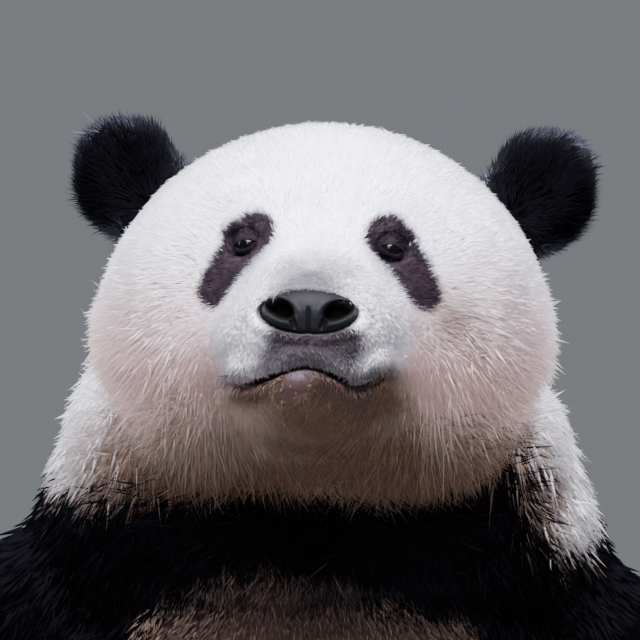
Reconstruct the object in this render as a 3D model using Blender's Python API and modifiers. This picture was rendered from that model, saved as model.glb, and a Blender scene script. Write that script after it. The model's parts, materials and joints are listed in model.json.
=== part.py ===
"""A giant panda, sitting upright on its rump with its muzzle raised.

The hind legs lie out in front with the soles showing, and the forepaws rest on the knees.
Metres, +Z up. The panda faces -Y, and the floor is at Z = 0. Every size runs out to the tips
of the coat. The body is one fused form, parted by thin plane cuts into its named parts.
"""

import math

import bmesh
import bpy
import numpy as np
from mathutils import Euler, Matrix, Vector

OBJECT = "giant_panda"
GAP = 0.0004            # clear width of each cut between two parts
LEAN = -0.055           # slope of the shoulder line: the panda's right shoulder is higher
LEAN_FROM = 0.30        # height at which the lean starts
LEAN_FULL = 0.62        # height at which it is complete

FUSE_VOXEL = 0.009      # grain of the fused body
FUSE_SMOOTH = 9         # smoothing passes after the shapes are fused
BODY_TRIANGLES = 2650   # whole body at the density that the trunk and limbs use
HEAD_TRIANGLES = 8300  # whole body at the density that the head uses

# Trunk: rings from the rump to the shoulders, as
# (centre y, centre z, half width, half depth).
TRUNK_RINGS = (
    (0.105, -0.012, 0.205, 0.170),
    (0.108, 0.050, 0.280, 0.240),
    (0.102, 0.130, 0.316, 0.278),
    (0.084, 0.240, 0.328, 0.296),
    (0.072, 0.370, 0.306, 0.276),
    (0.066, 0.490, 0.276, 0.240),
    (0.060, 0.590, 0.248, 0.206),
)

# Neck: the same, from between the shoulders to the back of the head.
NECK_RINGS = (
    (0.062, 0.570, 0.248, 0.206),
    (0.052, 0.650, 0.240, 0.190),
    (0.036, 0.715, 0.216, 0.176),
    (0.020, 0.775, 0.191, 0.160),
    (0.000, 0.830, 0.150, 0.130),
)

# Head: upright sections from the back of the skull to the nose, as
# (y, top z, bottom z, half width, z of the widest place).
HEAD_SECTIONS = (
    (0.125, 0.868, 0.770, 0.060, 0.820),
    (0.095, 0.915, 0.740, 0.108, 0.818),
    (0.045, 0.960, 0.702, 0.152, 0.814),
    (-0.005, 0.977, 0.678, 0.174, 0.808),
    (-0.050, 0.980, 0.668, 0.184, 0.803),
    (-0.095, 0.970, 0.670, 0.182, 0.799),
    (-0.130, 0.950, 0.683, 0.170, 0.796),
    (-0.158, 0.925, 0.697, 0.149, 0.794),
    (-0.180, 0.898, 0.709, 0.122, 0.793),
    (-0.203, 0.880, 0.718, 0.096, 0.793),
    (-0.232, 0.868, 0.727, 0.077, 0.794),
    (-0.260, 0.859, 0.738, 0.066, 0.797),
    (-0.280, 0.851, 0.756, 0.052, 0.802),
    (-0.290, 0.842, 0.776, 0.032, 0.808),
)
HEAD_TOP_POWER = 2.0     # superellipse power of the upper half of a section
HEAD_LOW_POWER = 2.8     # and of the lower half, which is fuller
CHEEK_PINCH = 0.12       # how far the sides draw in below the cheeks, as a share of the width
PINCH_END = 0.9          # depth at which that ends, as a share of the lower half
HEAD_PIVOT = (0.0, -0.10, 0.81)
HEAD_YAW = math.radians(3.3)    # the muzzle points a little to the panda's right
HEAD_ROLL = math.radians(2.0)   # the panda's left ear hangs a little lower

# Face parts, in the head's own unturned position.
LIP_PAD = ((0.032, -0.246, 0.792), (0.040, 0.040, 0.028))
CHIN = ((0.0, -0.232, 0.752), (0.038, 0.036, 0.026))
BROW = ((0.050, -0.136, 0.905), (0.040, 0.034, 0.028))
EYE_CENTRE = (0.0532, -0.1680, 0.8752)
EYE_RADIUS = 0.0120
SOCKET = ((0.0540, -0.1850, 0.8748), (0.0190, 0.0160, 0.0135))
NOSE_PAD = ((0.0, -0.2750, 0.8255), (0.0365, 0.0240, 0.0175))

EAR_CENTRE = (0.1640, 0.008, 0.9260)
EAR_RADII = (0.0490, 0.0320, 0.0560)     # half width, half thickness, half height
EAR_CUP = ((0.0, -0.041, 0.001), (0.033, 0.026, 0.038))  # hollow, from the ear's centre
EAR_TURN = (math.radians(-6.0), math.radians(24.0), math.radians(-14.0))

# Limbs: (centre, radius) along each limb, for the panda's left side.
FORELEG = (
    ((0.150, 0.045, 0.600), 0.090),
    ((0.200, 0.035, 0.553), 0.104),
    ((0.262, 0.035, 0.465), 0.094),
    ((0.318, 0.025, 0.380), 0.080),
    ((0.322, -0.060, 0.352), 0.073),
    ((0.292, -0.150, 0.337), 0.063),
    ((0.272, -0.205, 0.320), 0.055),
)
FOREPAW = ((0.267, -0.247, 0.304), (0.060, 0.068, 0.039), math.radians(10.0))
FORE_TOES = (0.054, 0.020, 0.0205)       # reach, spread between toes, toe radius
HINDLEG = (
    ((0.130, 0.110, 0.130), 0.138),
    ((0.200, 0.030, 0.130), 0.142),
    ((0.260, -0.085, 0.132), 0.134),
    ((0.298, -0.190, 0.142), 0.117),
    ((0.298, -0.275, 0.110), 0.095),
    ((0.292, -0.345, 0.075), 0.079),
    ((0.290, -0.385, 0.055), 0.068),
)
HINDFOOT = ((0.300, -0.415, 0.106), (0.064, 0.046, 0.106), math.radians(-12.0))
HIND_TOES = (0.090, 0.0230, 0.0215)
TAIL = ((0.0, 0.378, 0.052), (0.054, 0.062, 0.060))

# Claws: size is (length, root radius, droop of the tip), and reach runs from the toe's
# centre to the point that the claw grows from.
FORE_CLAW = {
    "size": (0.046, 0.0096, 0.019), "reach": (0.0, -0.018, 0.004), "leans": True,
    "forward": (0.0, -0.92, -0.38), "droop_way": (0.0, -0.38, -0.92),
}
HIND_CLAW = {
    "size": (0.040, 0.0088, 0.014), "reach": (0.0, -0.010, 0.012), "leans": False,
    "forward": (0.0, -0.72, 0.70), "droop_way": (0.0, -0.70, -0.72),
}
CLAW_SIDES = 6
CLAW_STEPS = 3
CLAW_ROOT = 0.40        # share of a claw that lies inside the toe

# Cuts between the parts, as half spaces (point, direction into the part).
HEAD_CUT = (((0.0, 0.000, 0.742), (0.0, -0.559, 0.829)),)
NECK_CUT = (((0.0, 0.020, 0.662), (0.0, -0.375, 0.927)),)
TAIL_CUT = (
    ((0.0, 0.345, 0.060), (0.0, 0.940, -0.340)),
    ((0.0, 0.0, 0.125), (0.0, 0.0, -1.0)),
    ((0.070, 0.0, 0.0), (-1.0, 0.0, 0.0)),
    ((-0.070, 0.0, 0.0), (1.0, 0.0, 0.0)),
)
CHEST_CUT = (((0.0, 0.0, 0.455), (0.0, 0.0, 1.0)),)
KNEE_HEIGHT = 0.262      # level at which a forepaw rests on a knee
ARM_CUT = (
    ((0.188, 0.030, 0.660), (0.808, -0.465, 0.360)),
    ((0.0, 0.0, KNEE_HEIGHT), (0.0, 0.0, 1.0)),
)
LEG_CUT = (
    ((0.212, -0.060, 0.150), (0.750, -0.660, 0.0)),
    ((0.0, 0.0, KNEE_HEIGHT), (0.0, 0.0, -1.0)),
)
ELBOW_CUT = (((0.322, -0.020, 0.375), (-0.100, -0.700, -0.710)),)
WRIST_CUT = (((0.274, -0.196, 0.322), (-0.250, -0.930, -0.270)),)
KNEE_CUT = (((0.306, -0.235, 0.140), (-0.060, -0.860, -0.500)),)
ANKLE_CUT = (((0.292, -0.385, 0.060), (0.0, -0.990, -0.140)),)

COLOURS = {
    "white_coat": ((0.80, 0.76, 0.73), 0.9),
    "black_coat": ((0.030, 0.028, 0.032), 0.9),
    "nose_skin": ((0.020, 0.018, 0.022), 0.4),
    "eye_surface": ((0.010, 0.008, 0.008), 0.1),
    "claw_horn": ((0.085, 0.070, 0.060), 0.45),
}


def clear_scene():
    for item in list(bpy.data.objects):
        bpy.data.objects.remove(item)


def new_collection(name):
    group = bpy.data.collections.new(name)
    bpy.context.scene.collection.children.link(group)
    return group


def new_material(name, colour, roughness):
    material = bpy.data.materials.new(name)
    material.use_nodes = True
    surface = material.node_tree.nodes["Principled BSDF"]
    surface.inputs["Base Color"].default_value = (*colour, 1.0)
    surface.inputs["Roughness"].default_value = roughness
    surface.inputs["Metallic"].default_value = 0.0
    return material


def smooth_rows(rows, steps):
    """More rows between the given ones, on a Catmull-Rom curve through them."""
    rows = np.array(rows, dtype=float)
    padded = np.vstack([2 * rows[0] - rows[1], rows, 2 * rows[-1] - rows[-2]])
    result = []
    for index in range(len(rows) - 1):
        before, start, end, after = padded[index:index + 4]
        for step in range(steps):
            t = step / steps
            result.append(
                0.5 * (2 * start + (end - before) * t
                       + (2 * before - 5 * start + 4 * end - after) * t ** 2
                       + (3 * start - before - 3 * end + after) * t ** 3)
            )
    result.append(rows[-1])
    return np.array(result)


def loft(rings):
    """A closed mesh through rings of equal counts, with a fan over each end."""
    bm = bmesh.new()
    layers = [[bm.verts.new(point) for point in ring] for ring in rings]
    count = len(layers[0])
    for lower, upper in zip(layers, layers[1:]):
        for index in range(count):
            following = (index + 1) % count
            bm.faces.new((lower[index], lower[following], upper[following], upper[index]))
    for layer, turned in ((layers[0], True), (layers[-1], False)):
        middle = bm.verts.new(sum((vertex.co for vertex in layer), Vector()) / count)
        for index in range(count):
            pair = (layer[index], layer[(index + 1) % count])
            bm.faces.new((middle, *(reversed(pair) if turned else pair)))
    bmesh.ops.recalc_face_normals(bm, faces=bm.faces)
    mesh = bpy.data.meshes.new("loft")
    bm.to_mesh(mesh)
    bm.free()
    return mesh


def upright_loft(rows, sides=40):
    """Level elliptical rings (centre y, centre z, half width, half depth), stacked upwards."""
    angles = np.linspace(0.0, 2.0 * math.pi, sides, endpoint=False)
    rings = []
    for centre_y, height, width, depth in smooth_rows(rows, 4):
        rings.append([(width * math.cos(a), centre_y + depth * math.sin(a), height) for a in angles])
    return loft(rings)


def head_loft(sides=48):
    """Upright sections along Y, each a superellipse with unlike upper and lower halves."""
    angles = np.linspace(0.0, 2.0 * math.pi, sides, endpoint=False)
    rings = []
    for y, top, bottom, width, middle in smooth_rows(HEAD_SECTIONS, 3):
        ring = []
        for angle in angles:
            across, up = math.cos(angle), math.sin(angle)
            power = HEAD_TOP_POWER if up >= 0.0 else HEAD_LOW_POWER
            reach = top - middle if up >= 0.0 else middle - bottom
            depth = abs(up) ** (2.0 / power)
            x = width * math.copysign(abs(across) ** (2.0 / power), across)
            if up < 0.0:
                x *= 1.0 - CHEEK_PINCH * math.sin(math.pi * min(depth / PINCH_END, 1.0))
            ring.append((x, y, middle + math.copysign(reach * depth, up)))
        rings.append(ring)
    return loft(rings)


def ellipsoid(centre, radii, turn=(0.0, 0.0, 0.0), segments=24, rings=14):
    bm = bmesh.new()
    bmesh.ops.create_uvsphere(bm, u_segments=segments, v_segments=rings, radius=1.0)
    place = Matrix.Translation(centre) @ Euler(turn).to_matrix().to_4x4() @ Matrix.Diagonal((*radii, 1.0))
    bmesh.ops.transform(bm, matrix=place, verts=bm.verts)
    mesh = bpy.data.meshes.new("ellipsoid")
    bm.to_mesh(mesh)
    bm.free()
    return mesh


def limb(rows, sides=20):
    """A round limb through (centre, radius) rows, with a ball at each end."""
    flat = smooth_rows([(*centre, radius) for centre, radius in rows], 5)
    centres, radii = flat[:, :3], flat[:, 3]
    tangents = np.gradient(centres, axis=0)
    tangents /= np.linalg.norm(tangents, axis=1)[:, None]
    side = np.cross(tangents, (0.0, 0.0, 1.0))
    side[np.linalg.norm(side, axis=1) < 0.3] = (1.0, 0.0, 0.0)
    side /= np.linalg.norm(side, axis=1)[:, None]
    other = np.cross(side, tangents)
    rings = []
    for index, centre in enumerate(centres):
        angles = np.linspace(0.0, 2.0 * math.pi, sides, endpoint=False)
        turn = np.cos(angles)[:, None] * side[index] + np.sin(angles)[:, None] * other[index]
        rings.append([tuple(point) for point in centre + radii[index] * turn])
    ends = [ellipsoid(rows[end][0], (rows[end][1],) * 3) for end in (0, -1)]
    return [loft(rings), *ends]


def forepaw():
    centre, radii, droop = FOREPAW
    return [ellipsoid(centre, radii, (droop, 0.0, 0.0)), *[ellipsoid(*toe) for toe in fore_toes()]]


def fore_toes():
    """The five toe balls of a forepaw, in a row across its front, as (centre, radii)."""
    centre, radii, droop = FOREPAW
    reach, spread, radius = FORE_TOES
    toes = []
    for number in range(5):
        across = (number - 2) * spread
        forward = reach - 0.22 * across ** 2 / spread
        place = (centre[0] + across, centre[1] - forward, centre[2] - 0.008)
        toes.append((place, (radius * 0.86, radius * 1.15, radius)))
    return toes


def hindfoot():
    centre, radii, tilt = HINDFOOT
    sole = ellipsoid(centre, radii, (tilt, 0.0, 0.0))
    heel = ellipsoid((centre[0] - 0.006, centre[1] + 0.006, 0.040), (0.056, 0.052, 0.056))
    ball = ellipsoid((centre[0], centre[1] - 0.014, centre[2] + 0.050), (0.064, 0.042, 0.046))
    return [sole, heel, ball, *[ellipsoid(*toe) for toe in hind_toes()]]


def hind_toes():
    """The five toe balls of a hind foot, in an arc over its top edge, as (centre, radii)."""
    centre, radii, tilt = HINDFOOT
    reach, spread, radius = HIND_TOES
    toes = []
    for number in range(5):
        across = (number - 2) * spread
        up = reach - 0.20 * across ** 2 / spread
        place = (centre[0] + across, centre[1] - 0.030, centre[2] + up - 0.004)
        toes.append((place, (radius * 0.88, radius, radius * 1.1)))
    return toes


def move_points(mesh, rule):
    """Moves every vertex by a rule that takes and returns an array of places."""
    places = np.empty(len(mesh.vertices) * 3, dtype=np.float32)
    mesh.vertices.foreach_get("co", places)
    mesh.vertices.foreach_set("co", rule(places.reshape(-1, 3).astype(float)).astype(np.float32).ravel())
    mesh.update()
    return mesh


def leaned(places):
    share = np.clip((places[:, 2] - LEAN_FROM) / (LEAN_FULL - LEAN_FROM), 0.0, 1.0)
    places[:, 2] += LEAN * places[:, 0] * share * share * (3.0 - 2.0 * share)
    return places


def head_turn():
    turn = Matrix.Rotation(-HEAD_YAW, 4, "Z") @ Matrix.Rotation(HEAD_ROLL, 4, "Y")
    return Matrix.Translation(HEAD_PIVOT) @ turn @ Matrix.Translation(-Vector(HEAD_PIVOT))


def turned(mesh):
    mesh.transform(head_turn())
    return mesh


def mirrored(mesh):
    copy = mesh.copy()
    copy.transform(Matrix.Scale(-1.0, 4, (1.0, 0.0, 0.0)))
    copy.flip_normals()
    return copy


def both_sides(meshes):
    return [*meshes, *[mirrored(mesh) for mesh in meshes]]


def joined(meshes):
    bm = bmesh.new()
    for mesh in meshes:
        bm.from_mesh(mesh)
        bpy.data.meshes.remove(mesh)
    result = bpy.data.meshes.new("joined")
    bm.to_mesh(result)
    bm.free()
    return result


def with_modifiers(mesh, workshop, add):
    """The mesh after the modifiers that add() puts on a working object."""
    worked = bpy.data.objects.new("work_piece", mesh)
    worked.hide_render = True
    worked.display_type = "WIRE"
    workshop.objects.link(worked)
    add(worked.modifiers)
    view = bpy.context.evaluated_depsgraph_get()
    result = bpy.data.meshes.new_from_object(worked.evaluated_get(view))
    bpy.data.objects.remove(worked)
    return result


def fused(mesh, workshop):
    def add(modifiers):
        remesh = modifiers.new("fuse", "REMESH")
        remesh.mode = "VOXEL"
        remesh.voxel_size = FUSE_VOXEL
        smooth = modifiers.new("blend", "SMOOTH")
        smooth.factor = 0.5
        smooth.iterations = FUSE_SMOOTH
    return with_modifiers(mesh, workshop, add)


def thinned(mesh, workshop, triangles):
    def add(modifiers):
        modifiers.new("triangles", "TRIANGULATE")
        decimate = modifiers.new("thin", "DECIMATE")
        decimate.ratio = triangles / (2 * len(mesh.polygons))
    return with_modifiers(mesh, workshop, add)


def combined(mesh, other, workshop, operation):
    """A Boolean of two closed meshes. The other mesh stays as it is."""
    cutter = bpy.data.objects.new("cutter", other)
    cutter.hide_render = True
    cutter.display_type = "WIRE"
    workshop.objects.link(cutter)

    def add(modifiers):
        cut = modifiers.new("cut", "BOOLEAN")
        cut.operation = operation
        cut.object = cutter
    result = with_modifiers(mesh, workshop, add)
    bpy.data.objects.remove(cutter)
    return result


def grown(mesh, workshop, distance):
    def add(modifiers):
        push = modifiers.new("grow", "DISPLACE")
        push.strength = distance
        push.mid_level = 0.0
    return with_modifiers(mesh, workshop, add)


def region(half_spaces, margin):
    """The part of a large cube inside every half space, each moved out by the margin."""
    bm = bmesh.new()
    bmesh.ops.create_cube(bm, size=4.0)
    for point, direction in half_spaces:
        inward = Vector(direction).normalized()
        geometry = [*bm.verts, *bm.edges, *bm.faces]
        start = Vector(point) - inward * margin
        bmesh.ops.bisect_plane(bm, geom=geometry, plane_co=start, plane_no=inward, clear_inner=True)
        rim = [edge for edge in bm.edges if edge.is_boundary]
        bmesh.ops.holes_fill(bm, edges=rim, sides=0)
    bmesh.ops.recalc_face_normals(bm, faces=bm.faces)
    mesh = bpy.data.meshes.new("region")
    bm.to_mesh(mesh)
    bm.free()
    return mesh


def parted(mesh, half_spaces, workshop):
    """The share of a mesh inside the half spaces, and the rest, with the gap between them."""
    inside = combined(mesh, region(half_spaces, -0.5 * GAP), workshop, "INTERSECT")
    outside = combined(mesh, region(half_spaces, 0.5 * GAP), workshop, "DIFFERENCE")
    return inside, outside


def across(half_spaces, side):
    """Half spaces of the panda's left side, mirrored where side is -1."""
    mirror = np.array((side, 1.0, 1.0))
    return [(tuple(mirror * point), tuple(mirror * direction)) for point, direction in half_spaces]


def largest_body(mesh):
    """Only the largest loose body of a mesh, with its doubled points merged."""
    bm = bmesh.new()
    bm.from_mesh(mesh)
    bmesh.ops.remove_doubles(bm, verts=bm.verts, dist=0.00002)
    waiting = set(bm.verts)
    bodies = []
    while waiting:
        seed = waiting.pop()
        body, front = {seed}, [seed]
        while front:
            for edge in front.pop().link_edges:
                for vertex in edge.verts:
                    if vertex in waiting:
                        waiting.discard(vertex)
                        body.add(vertex)
                        front.append(vertex)
        bodies.append(body)
    keep = max(bodies, key=len)
    bmesh.ops.delete(bm, geom=[vertex for vertex in bm.verts if vertex not in keep])
    bmesh.ops.triangulate(bm, faces=bm.faces)
    result = bpy.data.meshes.new("body")
    bm.to_mesh(result)
    bm.free()
    return result


def claw(root, forward, droop_way, size):
    """A bent, tapering claw from inside the toe to its tip."""
    length, radius, droop = size
    forward, down = Vector(forward).normalized(), Vector(droop_way).normalized()
    side = forward.cross(down)
    rings = []
    for step in range(CLAW_STEPS + 1):
        share = step / CLAW_STEPS
        centre = Vector(root) + forward * length * (share - CLAW_ROOT) + down * droop * share ** 2
        thick = radius * (1.0 - 0.88 * share ** 2)
        ring = []
        for corner in range(CLAW_SIDES):
            angle = 2.0 * math.pi * corner / CLAW_SIDES
            ring.append(centre + side * 0.75 * thick * math.cos(angle) + down * thick * math.sin(angle))
        rings.append(ring)
    return loft(rings)


def add_part(name, mesh, material, group):
    mesh = largest_body(mesh)
    mesh.name = name
    mesh.materials.clear()
    mesh.materials.append(material)
    mesh.shade_smooth()
    mesh.set_sharp_from_angle(angle=math.radians(50.0))
    part = bpy.data.objects.new(name, mesh)
    group.objects.link(part)
    return part


def raw_body():
    trunk = move_points(joined([upright_loft(TRUNK_RINGS), upright_loft(NECK_RINGS)]), leaned)
    arms = move_points(joined(both_sides([*limb(FORELEG), *forepaw()])), leaned)
    legs = joined(both_sides([*limb(HINDLEG), *hindfoot()]))
    face = both_sides([ellipsoid(*LIP_PAD), ellipsoid(*BROW)])
    head = turned(joined([head_loft(), ellipsoid(*CHIN), *face]))
    return joined([trunk, arms, legs, head, ellipsoid(*TAIL)])


def ear(side, head, workshop):
    """A thick, cupped, round ear that stands on the head's surface."""
    turn = (EAR_TURN[0], side * EAR_TURN[1], side * EAR_TURN[2])
    centre = Vector((side * EAR_CENTRE[0], EAR_CENTRE[1], EAR_CENTRE[2]))
    disc = ellipsoid(centre, EAR_RADII, turn, 16, 9)
    offset, radii = EAR_CUP
    hollow = ellipsoid(centre + Euler(turn).to_matrix() @ Vector(offset), radii, turn, 12, 8)
    cupped = turned(combined(disc, hollow, workshop, "DIFFERENCE"))
    return combined(cupped, grown(head, workshop, GAP), workshop, "DIFFERENCE")


def build_head(head, parts, colours, workshop):
    """The head with its sockets, eyes, nose pad and ears."""
    for side, letter in ((1, "l"), (-1, "r")):
        parts(f"ear_{letter}", ear(side, head, workshop), colours["black_coat"])
        centre = (side * EYE_CENTRE[0], *EYE_CENTRE[1:])
        socket_centre, socket_radii = SOCKET
        socket_place = (side * socket_centre[0], *socket_centre[1:])
        socket = turned(ellipsoid(socket_place, socket_radii, segments=12, rings=8))
        bed = turned(ellipsoid(centre, (EYE_RADIUS + GAP,) * 3, segments=12, rings=8))
        head = combined(combined(head, socket, workshop, "DIFFERENCE"), bed, workshop, "DIFFERENCE")
        eye = turned(ellipsoid(centre, (EYE_RADIUS,) * 3, segments=12, rings=8))
        parts(f"eye_{letter}", eye, colours["eye_surface"])
    place, radii = NOSE_PAD
    pad_bed = turned(ellipsoid(place, [radius + GAP for radius in radii], segments=16, rings=10))
    parts("nose", turned(ellipsoid(place, radii, segments=16, rings=10)), colours["nose_skin"])
    parts("head", combined(head, pad_bed, workshop, "DIFFERENCE"), colours["white_coat"])


def claws_of(toes, kind, side):
    """The whole claws of one paw, before they are cut back to its surface."""
    result = []
    for centre, radii in toes:
        root = Vector(centre) + Vector(kind["reach"])
        shape = claw(root, kind["forward"], kind["droop_way"], kind["size"])
        shape = shape if side > 0 else mirrored(shape)
        result.append(move_points(shape, leaned) if kind["leans"] else shape)
    return result


def centre_parts(group):
    """Moves all the parts level, so that the middle of their common box stands over the origin."""
    corners = np.array([vertex.co for part in group.objects for vertex in part.data.vertices])
    middle = 0.5 * (corners.min(axis=0) + corners.max(axis=0))
    for part in group.objects:
        part.data.transform(Matrix.Translation((-middle[0], -middle[1], 0.0)))


def build():
    clear_scene()
    group = new_collection(OBJECT)
    workshop = new_collection("cutters")
    colours = {name: new_material(name, *values) for name, values in COLOURS.items()}

    def parts(name, mesh, material):
        return add_part(name, mesh, material, group)

    dense = fused(raw_body(), workshop)
    floor = (((0.0, 0.0, 0.0), (0.0, 0.0, 1.0)),)
    fine = thinned(dense, workshop, HEAD_TRIANGLES)
    head = combined(fine, region(HEAD_CUT, -0.5 * GAP), workshop, "INTERSECT")
    build_head(head, parts, colours, workshop)

    rest = combined(thinned(dense, workshop, BODY_TRIANGLES), region(floor, 0.0), workshop, "INTERSECT")
    rest = combined(rest, region(HEAD_CUT, 0.5 * GAP), workshop, "DIFFERENCE")
    neck, rest = parted(rest, NECK_CUT, workshop)
    parts("neck", neck, colours["white_coat"])
    tail, rest = parted(rest, TAIL_CUT, workshop)
    parts("tail", tail, colours["white_coat"])

    for side, letter in ((1, "l"), (-1, "r")):
        arm, rest = parted(rest, across(ARM_CUT, side), workshop)
        leg, rest = parted(rest, across(LEG_CUT, side), workshop)
        lower, upper = parted(arm, across(ELBOW_CUT, side), workshop)
        paw, forearm = parted(lower, across(WRIST_CUT, side), workshop)
        shank, thigh = parted(leg, across(KNEE_CUT, side), workshop)
        foot, shank = parted(shank, across(ANKLE_CUT, side), workshop)
        for name, mesh in (("upper_arm", upper), ("forearm", forearm), ("forepaw", paw),
                           ("thigh", thigh), ("shank", shank), ("hindfoot", foot)):
            parts(f"{name}_{letter}", mesh, colours["black_coat"])
        for name, pad, toes, kind in (("foreclaw", paw, fore_toes(), FORE_CLAW),
                                      ("hindclaw", foot, hind_toes(), HIND_CLAW)):
            bed = grown(pad, workshop, GAP)
            for number, shape in enumerate(claws_of(toes, kind, side), start=1):
                shown = combined(shape, bed, workshop, "DIFFERENCE")
                parts(f"{name}_{letter}_{number}", shown, colours["claw_horn"])

    chest, belly = parted(rest, CHEST_CUT, workshop)
    parts("chest", chest, colours["black_coat"])
    parts("belly", belly, colours["white_coat"])
    centre_parts(group)


build()
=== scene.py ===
"""Giant panda, sitting: the skin, coat, eyes, nose, claws and pads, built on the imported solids.

It is laid out as an add-on and run as a script. The solids give the outline to the tips of the
coat. One skin lies inside them by the coat's depth, and solid tufts grow from the skin back out
to that outline. The markings are worked out on the skin and handed to every tuft at its root.
"""

import json
import math

import bmesh
import bpy
import numpy as np
from bpy.props import FloatProperty, FloatVectorProperty, IntProperty, PointerProperty
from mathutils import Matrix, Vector
from mathutils.kdtree import KDTree

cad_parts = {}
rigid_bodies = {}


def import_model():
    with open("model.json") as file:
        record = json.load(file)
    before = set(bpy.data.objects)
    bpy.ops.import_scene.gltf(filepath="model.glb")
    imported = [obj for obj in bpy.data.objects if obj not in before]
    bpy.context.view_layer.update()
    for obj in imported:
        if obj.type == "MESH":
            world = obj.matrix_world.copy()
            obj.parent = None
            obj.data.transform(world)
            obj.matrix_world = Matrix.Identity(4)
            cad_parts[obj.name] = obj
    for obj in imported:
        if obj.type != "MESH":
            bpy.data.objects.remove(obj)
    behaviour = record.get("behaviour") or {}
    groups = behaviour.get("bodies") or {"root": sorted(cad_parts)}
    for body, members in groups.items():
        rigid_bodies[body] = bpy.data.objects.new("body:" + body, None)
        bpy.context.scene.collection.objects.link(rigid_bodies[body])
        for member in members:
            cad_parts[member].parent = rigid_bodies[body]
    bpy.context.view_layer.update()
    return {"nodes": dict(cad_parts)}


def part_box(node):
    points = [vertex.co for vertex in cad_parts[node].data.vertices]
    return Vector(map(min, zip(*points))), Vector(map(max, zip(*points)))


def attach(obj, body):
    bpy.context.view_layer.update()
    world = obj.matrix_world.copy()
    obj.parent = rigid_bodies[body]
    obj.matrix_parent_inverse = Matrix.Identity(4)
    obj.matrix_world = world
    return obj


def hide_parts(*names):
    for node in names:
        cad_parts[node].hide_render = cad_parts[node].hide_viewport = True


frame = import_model()

bl_info = {
    "name": "Giant panda finish",
    "version": (1, 0, 0),
    "blender": (4, 5, 0),
    "location": "View3D > Sidebar > Panda",
    "description": "Skin, coat, eyes, nose, claws and pads for a sitting giant panda",
    "category": "Object",
}

SIDES = (("l", 1.0), ("r", -1.0))
DARK_PARTS = ("ear", "upper_arm", "forearm", "forepaw", "thigh", "shank", "hindfoot")
FLESH = ["head", "neck", "chest", "belly", "tail"]
FLESH += [f"{part}_{letter}" for part in DARK_PARTS for letter, side in SIDES]
KINDS = np.array([node.removesuffix("_l").removesuffix("_r") for node in FLESH])

UV_NAME = "OFBake"


# ---------------------------------------------------------------- places from the frame

def middle(node):
    """The middle of a node's box."""
    low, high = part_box(node)
    return np.array((low + high) * 0.5)


def unit(vectors):
    vectors = np.asarray(vectors, dtype=float)
    return vectors / np.maximum(np.linalg.norm(vectors, axis=-1, keepdims=True), 1e-12)


EYES = {letter: middle(f"eye_{letter}") for letter, side in SIDES}
EYE_RADIUS = 0.5 * float(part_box("eye_l")[1].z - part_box("eye_l")[0].z)
BROW = 0.5 * (EYES["l"] + EYES["r"])
ACROSS = unit(EYES["l"] - EYES["r"])
BACK = unit(np.cross((0.0, 0.0, 1.0), ACROSS))
UP = np.cross(ACROSS, BACK)
HEAD_AXES = np.array((ACROSS, BACK, UP))


def to_head(places):
    """Places in the head's own axes: across to its left, back and up, from between the eyes."""
    return (np.asarray(places) - BROW) @ HEAD_AXES.T


def from_head(places):
    return np.asarray(places) @ HEAD_AXES + BROW


NOSE_LOCAL = to_head(middle("nose"))
EYE_LOCAL = {letter: to_head(EYES[letter]) for letter, side in SIDES}
MUZZLE_FRONT = -0.07         # the front of the muzzle is further forward than this, in the head's axes


# ---------------------------------------------------------------- small numeric helpers

def ramp(values, start, end):
    """Smooth step from 0 at start to 1 at end. The start may be the larger of the two."""
    share = np.clip((np.asarray(values) - start) / (end - start), 0.0, 1.0)
    return share * share * (3.0 - 2.0 * share)


def bump(values, centre, width):
    return np.exp(-((np.asarray(values) - centre) / width) ** 2)


def blend(first, second, share):
    return first + (second - first) * share


def distance(places, point):
    """How far each place is from one point."""
    return np.linalg.norm(places - point, axis=1)


def waves(places, size, seed):
    """Smooth noise of about -1 to 1, whose features are about the given size."""
    random = np.random.default_rng(seed)
    result = np.zeros(len(places))
    count = 9
    for _ in range(count):
        direction = unit(random.normal(size=3)) * random.uniform(0.6, 1.5) * 2.0 * math.pi / (2.2 * size)
        result += np.sin(places @ direction + random.uniform(0.0, 2.0 * math.pi))
    return result / math.sqrt(0.5 * count) * 0.6


# ---------------------------------------------------------------- settings

def colour_setting(name, description, default):
    """A colour that a user may change."""
    return FloatVectorProperty(name=name, description=description, default=default, subtype="COLOR",
                               size=3, min=0.0, max=1.0)


def power_setting(name, description, default):
    """A light's power that a user may change."""
    return FloatProperty(name=name, description=description, default=default, min=0.0,
                         subtype="POWER", unit="POWER")


class PandaSkinSettings(bpy.types.PropertyGroup):
    """How fine the skin is"""
    grain: FloatProperty(name="Grain", description="Voxel size of the fused skin",
                         default=0.0094, min=0.004, max=0.02, subtype="DISTANCE", unit="LENGTH")
    face_rounds: IntProperty(name="Face rounds", description="Rounds of finer faces near the eyes and mouth",
                             default=4, min=2, max=4)


class PandaCoatSettings(bpy.types.PropertyGroup):
    """How full and how tidy the coat is"""
    tufts: IntProperty(name="Tufts", description="Tufts in the whole coat",
                       default=364000, min=20000, max=370000)
    lift: FloatProperty(name="Lift", description="How far the tips stand out, as a share of the coat's depth",
                        default=0.92, min=0.3, max=1.1, subtype="FACTOR")
    straying: FloatProperty(name="Straying", description="How far a tuft turns from the lie of the coat",
                            default=math.radians(13.0), min=0.0, max=1.0, subtype="ANGLE", unit="ROTATION")
    seed: IntProperty(name="Seed", description="Seed of the tufts' random draws", default=11, min=0)


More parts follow.
